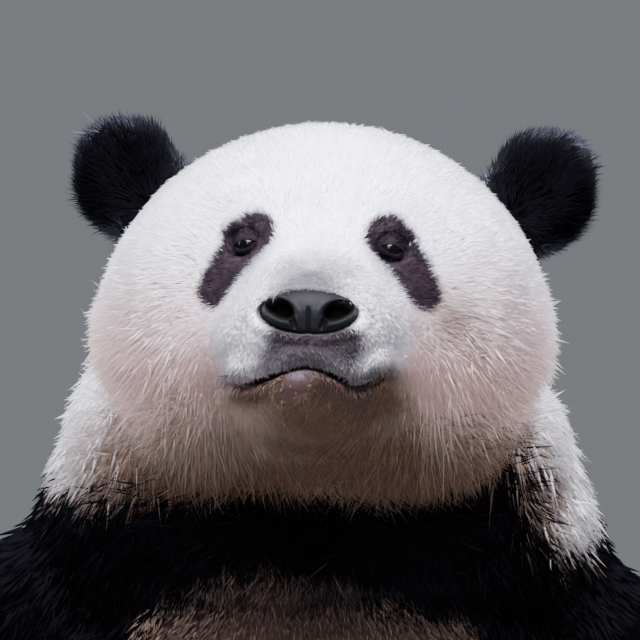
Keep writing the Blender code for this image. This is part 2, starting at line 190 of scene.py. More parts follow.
class PandaColourSettings(bpy.types.PropertyGroup):
    """The colours of the fur, bare skin, eyes, claws and floor"""
    white: colour_setting("White", "Clean white fur", (0.885, 0.885, 1.0))
    tan: colour_setting("Tan", "Pink-tan stain of the cheeks", (0.76, 0.432, 0.410))
    ochre: colour_setting("Ochre", "Light golden-brown stain of the jaw", (0.310, 0.202, 0.152))
    brown: colour_setting("Brown", "Brown stain of the throat and belly", (0.058, 0.031, 0.020))
    grey: colour_setting("Grey", "Short grey fur by the nose", (0.031, 0.023, 0.029))
    black: colour_setting("Black", "Black fur", (0.0023, 0.0021, 0.0031))
    patch: colour_setting("Eye patch", "Purple-brown fur of the eye patches", (0.033, 0.020, 0.026))
    lip: colour_setting("Lip", "Bare pink-brown skin of the lower lip", (0.052, 0.032, 0.034))
    nose: colour_setting("Nose", "Black skin of the nose", (0.0042, 0.0040, 0.0052))
    iris: colour_setting("Iris", "Dark brown iris", (0.0050, 0.0030, 0.0022))
    claw: colour_setting("Claw", "Grey-brown horn", (0.034, 0.027, 0.023))
    floor: colour_setting("Floor", "Pale floor", (0.50, 0.49, 0.48))


class PandaStageSettings(bpy.types.PropertyGroup):
    """The camera and the lights"""
    lens: FloatProperty(name="Lens", description="Camera's focal length", default=200.0, min=20.0,
                        subtype="DISTANCE_CAMERA", unit="CAMERA")
    distance: FloatProperty(name="Distance", description="From the camera to the widest part of the head",
                            default=2.844, min=1.0, subtype="DISTANCE", unit="LENGTH")
    key_power: power_setting("Key light", "Power of the large light overhead", 385.0)
    side_power: power_setting("Side lights", "Power of the light behind its left shoulder", 150.0)
    fill_power: power_setting("Fill light", "Power of the light beside the camera", 26.0)
    sky: FloatProperty(name="Sky", description="Brightness of the plain surroundings", default=0.22, min=0.0)


class PandaSettings(bpy.types.PropertyGroup):
    """All of the panda's settings, in groups"""
    skin: PointerProperty(type=PandaSkinSettings)
    coat: PointerProperty(type=PandaCoatSettings)
    colour: PointerProperty(type=PandaColourSettings)
    stage: PointerProperty(type=PandaStageSettings)


def settings():
    return bpy.context.scene.panda


# ---------------------------------------------------------------- shader writing

class Value:
    """A number that varies over a surface: an output socket with Python's arithmetic on it."""

    def __init__(self, shader, socket):
        self.shader = shader
        self.socket = socket

    def maths(self, operation, first, second):
        node = self.shader.node("ShaderNodeMath", {"operation": operation}, {0: first, 1: second})
        return Value(self.shader, node.outputs[0])

    def __add__(self, other):
        return self.maths("ADD", self, other)

    __radd__ = __add__

    def __sub__(self, other):
        return self.maths("SUBTRACT", self, other)

    def __rsub__(self, other):
        return self.maths("SUBTRACT", other, self)

    def __mul__(self, other):
        return self.maths("MULTIPLY", self, other)

    __rmul__ = __mul__

    def __pow__(self, other):
        return self.maths("POWER", self, other)


class Shader:
    """A material on a Principled surface, and the one method that adds a node to it."""

    def __init__(self, name, **constants):
        self.material = bpy.data.materials.new(name)
        self.material.use_nodes = True
        self.tree = self.material.node_tree
        self.surface = self.tree.nodes["Principled BSDF"]
        for socket, value in constants.items():
            self.surface.inputs[socket.replace("_", " ")].default_value = value

    def node(self, kind, settings, inputs):
        node = self.tree.nodes.new(kind)
        for name, value in settings.items():
            if name == "stops":
                ramp_stops = node.color_ramp.elements
                while len(ramp_stops) < len(value):
                    ramp_stops.new(0.5)
                for stop, (position, colour) in zip(ramp_stops, value):
                    stop.position = position
                    stop.color = (*colour, 1.0)
            else:
                setattr(node, name, value)
        for name, value in inputs.items():
            if isinstance(value, Value):
                self.tree.links.new(value.socket, node.inputs[name])
            else:
                node.inputs[name].default_value = value
        return node

    def output(self, kind, settings, inputs, socket=0):
        return Value(self, self.node(kind, settings, inputs).outputs[socket])

    def attribute(self, name, socket="Fac"):
        return self.output("ShaderNodeAttribute", {"attribute_name": name}, {}, socket)

    def attributes(self, *names):
        return [self.attribute(name) for name in names]

    def place(self):
        return self.output("ShaderNodeTexCoord", {}, {}, "Object")

    def mixed(self, share, first, second):
        """A colour between two, each a colour of three numbers or a link."""
        values = {6: first if isinstance(first, Value) else (*first, 1.0),
                  7: second if isinstance(second, Value) else (*second, 1.0), 0: share}
        return self.output("ShaderNodeMix", {"data_type": "RGBA", "clamp_factor": True}, values, 2)

    def noise(self, scale, detail=3.0, roughness=0.5):
        inputs = {"Vector": self.place(), "Scale": scale, "Detail": detail, "Roughness": roughness}
        return self.output("ShaderNodeTexNoise", {}, inputs, 0)

    def bumped(self, height, strength, depth):
        inputs = {"Height": height, "Strength": strength, "Distance": depth}
        return self.output("ShaderNodeBump", {}, inputs, "Normal")

    def feed(self, **links):
        for socket, value in links.items():
            self.tree.links.new(value.socket, self.surface.inputs[socket.replace("_", " ")])
        return self.material


# ---------------------------------------------------------------- meshes and arrays

def mesh_arrays(mesh):
    """Vertex places, normals and edge ends of a mesh."""
    count = len(mesh.vertices)
    places = np.empty(count * 3, dtype=np.float32)
    mesh.vertices.foreach_get("co", places)
    normals = np.empty(count * 3, dtype=np.float32)
    mesh.vertex_normals.foreach_get("vector", normals)
    edges = np.empty(len(mesh.edges) * 2, dtype=np.int32)
    mesh.edges.foreach_get("vertices", edges)
    return places.reshape(-1, 3).astype(float), normals.reshape(-1, 3).astype(float), edges.reshape(-1, 2)


def set_places(mesh, places):
    mesh.vertices.foreach_set("co", places.astype(np.float32).ravel())
    mesh.update()


class Net:
    """The edges of a mesh, for averaging a field over each vertex's neighbours."""

    def __init__(self, edges, count):
        self.starts = np.concatenate((edges[:, 0], edges[:, 1]))
        self.ends = np.concatenate((edges[:, 1], edges[:, 0]))
        self.count = count
        self.degree = np.maximum(np.bincount(self.starts, minlength=count), 1)

    def average(self, field):
        if field.ndim == 1:
            return np.bincount(self.starts, field[self.ends], self.count) / self.degree
        return np.stack([self.average(column) for column in field.T], axis=1)

    def smooth(self, field, rounds, share=0.5, mask=None):
        for _ in range(rounds):
            step = share * (self.average(field) - field)
            if mask is not None:
                step = step * (mask[:, None] if field.ndim > 1 else mask)
            field = field + step
        return field

    def fair(self, field, rounds, mask=None):
        """Smooths without shrinking: each round moves in and then a little further back out."""
        for _ in range(rounds):
            field = self.smooth(field, 1, 0.5, mask)
            field = self.smooth(field, 1, -0.52, mask)
        return field


def set_attribute(mesh, name, values):
    """Writes a number or a vector for each vertex."""
    kind = "FLOAT" if values.ndim == 1 else "FLOAT_VECTOR"
    attribute = mesh.attributes.new(name, kind, "POINT")
    attribute.data.foreach_set("value" if values.ndim == 1 else "vector", values.astype(np.float32).ravel())


def get_attribute(mesh, name):
    attribute = mesh.attributes[name]
    vector = attribute.data_type == "FLOAT_VECTOR"
    values = np.empty(len(mesh.vertices) * (3 if vector else 1), dtype=np.float32)
    attribute.data.foreach_get("vector" if vector else "value", values)
    return values.reshape(-1, 3).astype(float) if vector else values.astype(float)


def mesh_from(bm, name, smooth=True):
    """The finished mesh of a bmesh, which is freed."""
    mesh = bpy.data.meshes.new(name)
    bm.to_mesh(mesh)
    bm.free()
    if smooth:
        mesh.shade_smooth()
    return mesh


def add_object(name, mesh):
    mesh.name = name
    piece = bpy.data.objects.new(name, mesh)
    bpy.context.scene.collection.objects.link(piece)
    return piece


def finish_piece(piece, material, replaced=()):
    """Gives a piece its material and the body it rides, and hides the nodes it stands for."""
    piece.data.materials.clear()
    piece.data.materials.append(material)
    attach(piece, "root")
    if replaced:
        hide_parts(*replaced)
    return piece


def evaluated(piece):
    """A plain mesh of an object with its modifiers applied."""
    view = bpy.context.evaluated_depsgraph_get()
    return bpy.data.meshes.new_from_object(piece.evaluated_get(view))


# ---------------------------------------------------------------- the skin's shape

# Depth of the coat over each part, from the skin to the tips. Over the head it varies instead.
COAT_DEPTH = {
    "head": 0.010, "neck": 0.021, "chest": 0.022, "belly": 0.023, "tail": 0.018, "ear": 0.0095,
    "upper_arm": 0.020, "forearm": 0.018, "forepaw": 0.010, "thigh": 0.021, "shank": 0.018, "hindfoot": 0.009,
}
GAZE = {letter: unit(-BACK * 0.93 + ACROSS * side * 0.34 + UP * 0.10) for letter, side in SIDES}
LID_THICKNESS = 0.0010
LID_MARGIN = 0.0014                 # width of the bare rim round the opening between the lids
LID_HALF_WIDTH = 0.0088
LID_HALF_HEIGHT = 0.0044
LID_SLANT = math.radians(-14.0)     # the outer corner lies lower than the inner one
MOUTH_TOP = -0.0886                 # height of the middle of the mouth in the head's axes
MERGE_GAP = 0.00001                 # corners of the solids' triangles closer than this are one


def nearest_parts(places):
    """The flesh node nearest to each place, as an index into FLESH."""
    samples = []
    for index, node in enumerate(FLESH):
        mesh = frame["nodes"][node].data
        points = np.array([vertex.co for vertex in mesh.vertices])
        centres = np.array([polygon.center for polygon in mesh.polygons])
        samples += [(point, index) for point in np.vstack((points, centres))]
    tree = KDTree(len(samples))
    for point, index in samples:
        tree.insert(point, index)
    tree.balance()
    return np.array([tree.find(place)[1] for place in places])


def mouth_line(across):
    """Height of the mouth's slit in the head's axes: an arch that falls to both corners."""
    drop = 0.0118 * ramp(np.abs(across - 0.001), 0.0, 0.046) + 0.0015 * ramp(across, 0.010, 0.050)
    return MOUTH_TOP - drop + 0.0110 * ramp(across, 0.034, 0.058)


def head_depth(local):
    """Depth of the coat over the head, from places in the head's axes."""
    across, _, up = local.T
    from_nose = distance(local, NOSE_LOCAL + (0.0, 0.01, 0.0))
    short = blend(0.0013, 0.0052, ramp(from_nose, 0.032, 0.078))
    crown = blend(0.0075, 0.0095, ramp(up, 0.02, 0.09))
    cheek = ramp(up, 0.03, -0.07) * ramp(np.abs(across) + 0.6 * np.maximum(-up - 0.08, 0.0), 0.045, 0.12)
    long = blend(crown, 0.0165, cheek)
    depth = blend(short, long, ramp(from_nose, 0.075, 0.165))
    for eye in EYE_LOCAL.values():
        depth = blend(0.0010, depth, ramp(distance(local, eye), 0.012, 0.038))
    return depth


def coat_depth(places, parts):
    """Depth of the coat at each place of the whole animal."""
    depth = np.array([COAT_DEPTH[kind] for kind in KINDS])[parts]
    on_head = KINDS[parts] == "head"
    depth[on_head] = head_depth(to_head(places[on_head]))
    return depth


def fused_skin(grain):
    """The flesh nodes with the eyes and nose, fused into one closed, smoothed surface."""
    bm = bmesh.new()
    for node in [*FLESH, "eye_l", "eye_r", "nose"]:
        bm.from_mesh(frame["nodes"][node].data)
    bmesh.ops.remove_doubles(bm, verts=bm.verts, dist=MERGE_GAP)
    piece = add_object("flesh", mesh_from(bm, "flesh", smooth=False))
    remesh = piece.modifiers.new("fuse", "REMESH")
    remesh.mode = "VOXEL"
    remesh.voxel_size = grain
    fused = evaluated(piece)
    bpy.data.objects.remove(piece)
    return fused


def inset_skin(mesh):
    """Smooths the fused surface and moves it inwards by the coat's depth, in a few even steps."""
    places, _, edges = mesh_arrays(mesh)
    net = Net(edges, len(places))
    parts = nearest_parts(places)
    off_muzzle = ramp(distance(to_head(places), NOSE_LOCAL), 0.03, 0.16)
    places = net.fair(places, 12, mask=0.5 + 0.5 * off_muzzle)
    depth = net.smooth(coat_depth(places, parts), 6)
    depth *= blend(0.25, 1.0, ramp(places[:, 2], 0.0, 0.06))
    steps = 4
    for _ in range(steps):
        set_places(mesh, places)
        normals = net.smooth(mesh_arrays(mesh)[1], 2)
        places = places - unit(normals) * (depth / steps)[:, None]
        places = net.fair(places, 1, mask=off_muzzle)
    set_places(mesh, places)
    set_attribute(mesh, "depth", depth)
    return mesh


def finer(mesh, rounds):
    """Divides the faces round the muzzle, eyes and mouth, more rounds where the detail is finer."""
    bm = bmesh.new()
    bm.from_mesh(mesh)
    for level in range(rounds):
        local = to_head(np.array([face.calc_center_median() for face in bm.faces]))
        from_eye = np.minimum(*[distance(local, eye) for eye in EYE_LOCAL.values()])
        from_nose = distance(local, NOSE_LOCAL)
        from_mouth = np.abs(local[:, 2] - mouth_line(local[:, 0]))
        from_mouth += np.maximum(np.abs(local[:, 0]) - 0.055, 0.0)
        front = local[:, 1] < -0.035
        wanted = (
            (from_nose < 0.150) | (from_eye < 0.070),
            (from_eye < 0.050) | (from_nose < 0.085),
            (from_eye < 0.024) | ((from_mouth < 0.016) & front),
            (from_eye < 0.0165) | ((from_mouth < 0.0055) & front),
        )[level]
        edges = {edge for face, take in zip(bm.faces, wanted) if take for edge in face.edges}
        bmesh.ops.subdivide_edges(bm, edges=list(edges), cuts=1, use_grid_fill=True)
        bm.faces.ensure_lookup_table()
    bmesh.ops.triangulate(bm, faces=bm.faces)
    bm.to_mesh(mesh)
    bm.free()
    return mesh


def eye_axes(letter, side):
    """Across (outwards), up and out of one eye, turned by the slant of its lids."""
    out = GAZE[letter]
    upward = unit(UP - out * (UP @ out))
    sideways = unit(np.cross(upward, out)) * side
    sideways = sideways if sideways @ ACROSS * side > 0 else -sideways
    cosine, sine = math.cos(LID_SLANT), math.sin(LID_SLANT)
    return sideways * cosine + upward * sine, upward * cosine - sideways * sine, out


def lid_opening(outwards, upwards):
    """How far out of the almond between the lids a point is: below 1 it is inside."""
    reach = np.clip(np.abs(outwards) / LID_HALF_WIDTH, 0.0, 1.0)
    upper = LID_HALF_HEIGHT * 0.60 * (1.0 - reach ** 2.2)
    lower = LID_HALF_HEIGHT * 0.94 * (1.0 - reach ** 1.8)
    limit = np.where(upwards > 0.0, upper, lower)
    inside = np.abs(upwards) / np.maximum(limit, 0.00035)
    return np.maximum(inside, np.abs(outwards) / LID_HALF_WIDTH)


def sculpt_eye(places, letter, side):
    """Wraps the skin round one eyeball: two lids with a margin, a fold above and a bag below."""
    sideways, upward, out = eye_axes(letter, side)
    offset = places - EYES[letter]
    u, v, w = offset @ sideways, offset @ upward, offset @ out
    radius = np.hypot(u, v)
    near = (radius < 0.034) & (w > -0.02)
    lid_radius = EYE_RADIUS + LID_THICKNESS
    lid = np.sqrt(np.maximum(lid_radius ** 2 - radius ** 2, 0.0))
    held = blend(1.0, 0.0, ramp(radius, 0.0095, 0.0150))
    surface = np.where(radius < lid_radius, lid, 0.0)
    raised = blend(w, np.maximum(surface, w), held * (w < surface))
    raised = blend(raised, surface, held * (w > surface) * 0.9)
    fold = 0.0011 * bump(v, 0.0086 - 18.0 * u ** 2, 0.0011) * ramp(radius, 0.016, 0.010)
    bag = 0.0013 * bump(v, -0.0082 + 10.0 * u ** 2, 0.0012) * ramp(radius, 0.017, 0.009)
    swell = 0.0012 * bump(np.hypot(u - 0.006, v + 0.0058), 0.0, 0.0030)
    raised = raised - fold - bag + swell
    behind = np.sqrt(np.maximum((EYE_RADIUS - 0.0030) ** 2 - radius ** 2, 0.0))
    raised = blend(raised, behind, ramp(lid_opening(u, v), 1.06, 0.88) * (radius < lid_radius))
    change = np.where(near, raised - w, 0.0)
    return places + change[:, None] * out


def nose_seat(across, up):
    """How far out of the nose's seat a point of the muzzle is: below 1 the nose pad covers it."""
    return np.hypot(across / 0.0370, (up - NOSE_LOCAL[2]) / 0.0160)


def mouth_relief(across, back, up):
    """Height of the mouth's forms over the smooth muzzle: the slit, the lips and the groove over them."""
    above = up - mouth_line(across)
    front = ramp(back, -0.030, -0.050)
    side_fade = ramp(np.abs(across), 0.061, 0.050)
    gap = 0.0018 + 0.0012 * ramp(np.abs(across), 0.010, 0.028)
    slit = 0.0100 * bump(above, -0.0010, gap) * side_fade * front
    upper_lip = 0.0036 * bump(above, 0.0090, 0.0070) * side_fade * front
    lower_lip = 0.0050 * bump(across, -0.0085, 0.0165) * bump(above, -0.0120, 0.0095) * front
    groove = 0.0024 * bump(across, 0.0, 0.0018) * ramp(up, -0.064, -0.069) * ramp(above, 0.0, 0.004) * front
    return -slit + upper_lip + lower_lip - groove


def sculpt_face(mesh):
    """The folds of the face: lids, nose seat, lip groove, mouth slit, lips and brow creases."""
    places, _, edges = mesh_arrays(mesh)
    net = Net(edges, len(places))
    face = ramp(distance(to_head(places), NOSE_LOCAL), 0.17, 0.12)
    places = net.fair(net.smooth(places, 2, mask=face), 4, mask=face)
    set_places(mesh, places)
    normals = mesh_arrays(mesh)[1]
    across, back, up = to_head(places).T
    on_muzzle, on_brow = back < MUZZLE_FRONT, back < 0.02
    seat = nose_seat(across, up)
    pit = 0.0240 * ramp(seat, 1.0, 0.86) * on_muzzle
    rim = 0.0010 * bump(seat, 1.14, 0.10) * on_muzzle
    furrow = 0.0016 * bump(across, 0.0, 0.006) * bump(up, 0.035, 0.035) * on_brow
    height = mouth_relief(across, back, up) - pit + rim - furrow
    for letter, side in SIDES:
        crease = across * side - (0.026 + 0.10 * (up - 0.02))
        height -= 0.0013 * bump(crease, 0.0, 0.0022) * bump(up, 0.030, 0.016) * on_brow
    places = places + normals * height[:, None]
    for letter, side in SIDES:
        places = sculpt_eye(places, letter, side)
    set_places(mesh, places)
    return mesh


# ---------------------------------------------------------------- markings

SHOULDER_SLOPE = -0.050      # slope of the shoulder line from the panda's right to its left
FIELDS = ("dark", "patch", "tan", "brown", "grey", "lips", "chin", "lids")

# Middle line of an eye patch, outwards and up from the eye, with the patch's half width at each.
PATCH_LINES = {
    1.0: ((-0.0012, 0.0100, 0.0182), (0.0182, -0.0165, 0.0158), (0.0282, -0.0352, 0.0126)),
    -1.0: ((-0.0040, 0.0095, 0.0178), (0.0130, -0.0165, 0.0160), (0.0220, -0.0365, 0.0138)),
}
PATCH_CORNER = (0.0070, 0.0050)     # middle of the round that widens a patch over the eye
PATCH_CORNER_RADIUS = 0.0160


def patch_field(local, side):
    """Signed distance outside one eye patch: a slanting teardrop from the brow to the cheek."""
    eye = EYE_LOCAL["l" if side > 0 else "r"]
    point = np.stack(((local[:, 0] - eye[0]) * side, local[:, 2] - eye[2]), axis=1)
    field = np.full(len(local), 1.0)
    line = PATCH_LINES[side]
    for start, end in zip(line, line[1:]):
        run = np.subtract(end[:2], start[:2])
        share = np.clip((point - start[:2]) @ run / (run @ run), 0.0, 1.0)
        gap = distance(point - start[:2], share[:, None] * run)
        field = np.minimum(field, gap - blend(start[2], end[2], share))
    field = np.minimum(field, distance(point, PATCH_CORNER) - PATCH_CORNER_RADIUS)
    return np.where(local[:, 1] < 0.06, field, 0.1)


def nearest_patch(local):
    """Signed distance outside the nearer eye patch."""
    return np.minimum(*[patch_field(local, side) for letter, side in SIDES])


class Site:
    """Where each vertex of the skin is, and the heights of the edges of the black fur over it."""

    def __init__(self, places, parts, net):
        self.places = places
        self.net = net
        self.local = to_head(places)
        self.names = KINDS[parts]
        self.on_head = self.names == "head"
        self.on_ear = self.names == "ear"
        across, back, up = self.local.T
        self.over_mouth = up - mouth_line(across)
        self.by_mouth = ramp(back, -0.03, -0.045) * self.on_head
        x, y, z = places.T
        dip = 0.028 * bump(x, 0.120, 0.025) - 0.030 * bump(x, 0.178, 0.028)
        slant = np.where(y < 0.0, -0.10, 0.33) * y
        self.collar = 0.684 + SHOULDER_SLOPE * x + slant + dip * ramp(y, 0.14, 0.05)
        in_front, behind = 0.616 - 2.2 * (x + 0.02) ** 2, 0.600 - 1.2 * x ** 2
        self.hem = blend(in_front, behind, ramp(y, 0.05, 0.20)) + SHOULDER_SLOPE * x
        self.beard_edge = 0.685 + 0.042 * bump(x, 0.120, 0.045) + SHOULDER_SLOPE * x + 0.5 * x ** 2
        self.beard_edge += 0.30 * np.maximum(y + 0.02, 0.0)
        under_band = np.isin(self.names, ("belly", "chest", "neck")) * (z < self.hem + 0.015)
        self.bib = under_band * ramp(y, 0.05, 0.0)


def dark_fur(site):
    """Black fur: the ears and limbs and the band round the shoulders, and a darker bib under the band that is
    partly black hair and partly painted shade.
    """
    x, y, z = site.places.T
    over_band = (z > site.collar) & (site.names == "upper_arm")
    band = (z < site.collar) & (z > site.hem)
    band &= np.isin(site.names, ("neck", "chest", "belly", "upper_arm", "head"))
    dark = (np.isin(site.names, DARK_PARTS) & ~over_band) | band
    dark |= site.on_head & (z < site.beard_edge) & (y < 0.02)
    by_arm = np.isin(site.names, ("chest", "belly")) & (np.abs(x) > 0.19)
    dark |= by_arm & (z > 0.43) & (z < site.collar) & (y < 0.06)
    dark = site.net.smooth(dark.astype(float), 8)
    frizz = 0.10 * waves(site.places, 0.018, seed=3) + 0.07 * waves(site.places, 0.007, seed=4)
    broad = ramp(site.net.smooth(dark, 18) + frizz, 0.20, 0.84)
    dark = np.where(site.on_head, ramp(dark + frizz, 0.34, 0.62), broad)
    dark = np.where(site.on_ear, 1.0, dark)
    # The bib under the band: partly black hair among the brown, partly painted shade.
    return np.maximum(dark, 0.53 * site.bib * ramp(z, 0.50, 0.575))


def eye_patches(site):
    """The two slanting eye patches, with a feathered edge."""
    feather = 0.0009 * waves(site.places, 0.006, seed=5)
    patch = np.zeros(len(site.places))
    for letter, side in SIDES:
        patch = np.maximum(patch, ramp(patch_field(site.local, side) + feather, 0.0022, -0.0022))
    return patch * site.on_head


def dark_round_eyes(site, patch):
    """How black each eye patch is: most close round the eye and over it."""
    dark = np.zeros(len(site.places))
    for letter, side in SIDES:
        gap = np.linalg.norm(site.places - EYES[letter] + (0.0, 0.0, 0.001), axis=1)
        above = 0.14 * ramp(site.local[:, 2] - EYE_LOCAL[letter][2], -0.010, 0.006)
        dark = np.maximum(dark, np.clip(0.60 * ramp(gap, 0.027, 0.008) + above, 0.0, 0.9) * patch)
    return dark


def head_stain_and_shade(site, mottle):
    """Tan and brown of the head: tan cheeks round a white muzzle, and a brown beard and throat that is partly
    painted shade.
    """
    across, back, up = site.local.T
    low = ramp(up, 0.010, -0.115)
    wide = ramp(np.abs(across), 0.02, 0.15)
    # Tan fades towards the head's outer sides: partly whiter fur there, partly painted rim light.
    flank = ramp(np.abs(across) + 0.35 * back, 0.205, 0.150)
    tan = np.clip(1.15 * low + 0.16 * wide - 0.04 + mottle, 0.0, 1.0) * blend(0.22, 1.0, flank)
    tan = np.maximum(tan, 0.45 * bump(np.abs(across), 0.115, 0.030) * bump(up, -0.055, 0.035))
    tan *= 1.0 - 0.15 * ramp(across, 0.09, 0.15) * ramp(up, -0.130, -0.060)
    tan += 0.20 * bump(across, 0.135, 0.040) * bump(up, -0.040, 0.045)
    muzzle = ramp(distance(site.local, NOSE_LOCAL), 0.105, 0.060) * ramp(up, -0.107, -0.088)
    tan *= 1.0 - 0.85 * (muzzle * ramp(site.over_mouth, -0.002, 0.004))
    # Brown grows towards the bottom of the head: partly the beard's real stain, partly painted shade under
    # the jaw and chin.
    brown = ramp(up, -0.084, -0.164)
    centre = ramp(across, -0.066, 0.004) * ramp(across, 0.125, 0.035)
    brown += (1.0 - brown) * np.maximum(centre, 0.7 * ramp(up, -0.135, -0.160)) * ramp(up, -0.094, -0.124)
    left_beard = 0.9 * bump(across, 0.125, 0.055) * ramp(up, -0.108, -0.155)
    right_beard = 0.10 * bump(across, -0.100, 0.050) * ramp(up, -0.095, -0.130)
    brown += left_beard + right_beard
    left_cheek = 0.62 * bump(across, 0.095, 0.015) * bump(up, -0.050, 0.017)
    right_cheek = 0.16 * bump(across, -0.110, 0.016) * bump(up, -0.050, 0.020)
    brown += left_cheek + right_cheek
    brown += 0.20 * bump(across, -0.084, 0.026) * bump(up, -0.096, 0.026)
    brown = np.clip(brown + mottle * low, 0.0, 1.0) * ramp(np.abs(across) + 0.35 * back, 0.212, 0.172)
    return tan, brown


def body_stain_and_shade(site, mottle):
    """Tan and brown of the neck and body: along the band's upper edge, under the jaw and on the belly, where
    the brown is partly painted shade.
    """
    x, y, z = site.places.T
    outer = ramp(np.abs(x), 0.150, 0.205) * ramp(y, 0.25, 0.05)
    rise = z - site.collar + 0.006 * waves(site.places, 0.03, seed=8)
    tan = 0.12 + 0.42 * ramp(z, 0.66, 0.40) * ramp(y, 0.15, -0.1) + 0.35 * ramp(z, 0.15, 0.02)
    tan = np.clip(tan + mottle, 0.0, 1.0) * (1.0 - 0.6 * outer)
    tan = np.maximum(tan, 0.66 * ramp(rise, 0.040, 0.005) * ramp(y, 0.25, 0.05) * (1.0 - 0.7 * outer))
    # The belly's brown under the band: partly stain, partly painted shade.
    belly = 0.94 * ramp(z, 0.40, 0.57) * ramp(y, 0.02, -0.08)
    brown = 0.06 * ramp(y, 0.1, -0.1) + belly + 0.2 * ramp(z, 0.12, 0.0)
    brown = np.clip(brown + mottle, 0.0, 1.0)
    # Brown on the front of the neck under the jaw: partly stain, partly painted shade below the jaw.
    under_jaw_stain_and_shade = 0.95 * ramp(np.abs(x - 0.008), 0.186, 0.140) * ramp(z, 0.750, 0.700)
    brown = np.maximum(brown, under_jaw_stain_and_shade * ramp(z, 0.46, 0.54) * ramp(y, 0.10, 0.02))
    brown = np.maximum(brown, 0.35 * ramp(rise, 0.030, 0.0) * ramp(y, 0.25, 0.05) * (1.0 - 0.5 * outer))
    return tan, brown


def stain(site, dark):
    """Tan and brown over the whole animal, from the head's run into the nape's. Parts of the brown are
    painted shade, and part of the tan's fading is painted rim light.
    """
    _, back, up = site.local.T
    mottle = 0.10 * waves(site.places, 0.035, seed=6) + 0.05 * waves(site.places, 0.012, seed=7)
    nape = site.on_head * ramp(back, 0.075, 0.105) * ramp(up, -0.110, -0.145)
    tan, brown = (np.where(site.on_head, blend(on_face, on_body, nape), on_body)
                  for on_face, on_body in zip(head_stain_and_shade(site, mottle), body_stain_and_shade(site, mottle)))
    border = ramp(site.net.smooth(dark, 9), 0.27, 0.6)
    brown = np.maximum(brown, 0.55 * border * (site.places[:, 2] < site.collar + 0.10) * ~site.on_ear)
    return site.net.smooth(tan, 2), site.net.smooth(brown, 2)


def grey_fur_and_ear_rim_light(site, patch):
    """Grey fur over and under the nose, along the lip and inside the eye patches, and painted rim light on
    the ears' rims.
    """
    across, back, up = site.local.T
    nose_height = NOSE_LOCAL[2]
    grey = 0.93 * ramp(np.hypot(across / 0.041, (up - nose_height - 0.008) / 0.047), 1.05, 0.4)
    middle_line = 0.007 * ramp(up, -0.095, -0.060)
    half_width = blend(0.052, 0.062, ramp(up, -0.060, -0.085))
    under = ramp(np.abs(across - middle_line), half_width, 0.028)
    under *= ramp(up, nose_height - 0.004, nose_height - 0.012)
    over = site.over_mouth
    under *= blend(blend(0.96, 0.84, ramp(np.abs(across), 0.008, 0.030)), 1.0, ramp(over, 0.004, 0.015))
    left_lip = 0.93 * ramp(across, 0.074, 0.050) * ramp(across, 0.0, 0.02) * ramp(over, 0.023, 0.007)
    right_lip = 0.75 * ramp(across, -0.080, -0.054) * ramp(across, 0.0, -0.02) * ramp(over, 0.019, 0.004)
    between_eyes = 0.42 * bump(across, 0.0, 0.012) * bump(up, 0.002, 0.013)
    for marking in (under, left_lip, right_lip, between_eyes):
        grey = np.maximum(grey, marking)
    for letter, side in SIDES:
        inner = ramp((across - EYE_LOCAL[letter][0]) * side, 0.004, -0.012)
        grey = np.maximum(grey, 0.72 * bump(patch_field(site.local, side), 0.003, 0.0060) * inner)
    grey *= site.on_head * ramp(back, -0.01, -0.05) * ramp(over, -0.004, 0.0) * (1.0 - patch)
    hubs = [to_head(middle(f"ear_{letter}")) for letter, side in SIDES]
    from_hub = np.min([np.hypot(across - hub[0], up - hub[2]) for hub in hubs], axis=0)
    # On the ears this field is painted rim light: the black fur is lighter towards each ear's rim.
    grey = np.where(site.on_ear, ramp(from_hub, 0.034, 0.052), grey)
    return np.maximum(grey, 0.10 * site.bib * ramp(site.places[:, 2], 0.48, 0.56))


def mouth_corners(site):
    """Painted shadow in brown outside both corners of the mouth, and painted shadow in grey on the lower lip
    beside the chin, under the upper lip.
    """
    across, back, _ = site.local.T
    over = site.over_mouth
    on_left = ramp(across, -0.004, 0.012) * ramp(across, 0.088, 0.052) * ramp(over, -0.028, -0.012)
    on_right = ramp(across, -0.070, -0.052) * ramp(across, -0.016, -0.030) * ramp(over, -0.018, -0.006)
    # Painted shadow in brown outside the mouth's corners, under the hair of the upper lip.
    corner = 0.010 * ramp(across, 0.042, 0.064) + 0.008 * ramp(across, -0.046, -0.062)
    corner_shadow = np.maximum(on_left, 0.75 * on_right)
    corner_shadow *= ramp(over - corner, 0.0020 + 0.4 * corner, -0.0025 - 0.5 * corner)
    corner_shadow *= ramp(back, -0.01, -0.04) * site.on_head
    # Painted shadow in grey on the lower lip beside the chin, under the upper lip.
    left_lip_shadow = ramp(across, 0.000, 0.012) * ramp(across, 0.056, 0.042) * ramp(over, -0.022, -0.008)
    right_lip_shadow = 0.7 * ramp(across, -0.056, -0.044) * ramp(across, -0.020, -0.032)
    right_lip_shadow *= ramp(over, -0.016, -0.005)
    lip_shadow = 0.85 * np.maximum(left_lip_shadow, right_lip_shadow) * ramp(over, 0.001, -0.001) * site.by_mouth
    return corner_shadow, lip_shadow


def chin(site):
    """How far out of the lower lip's bare lump each place is, and a painted highlight near its top."""
    across, over = site.local[:, 0], site.over_mouth
    lump = np.hypot((across + 0.0095) / 0.0190, (over + 0.0125) / 0.0145)
    lump += 0.12 * waves(site.places, 0.006, seed=9)
    # Painted highlight: a lighter, bluer spot near the top of the lip's lump.
    lip_highlight = ramp(np.hypot((across + 0.002) / 0.0130, (over + 0.0045) / 0.0065), 1.15, 0.60) * site.by_mouth
    return lump, 0.8 * lip_highlight * ramp(over, 0.0, -0.001)


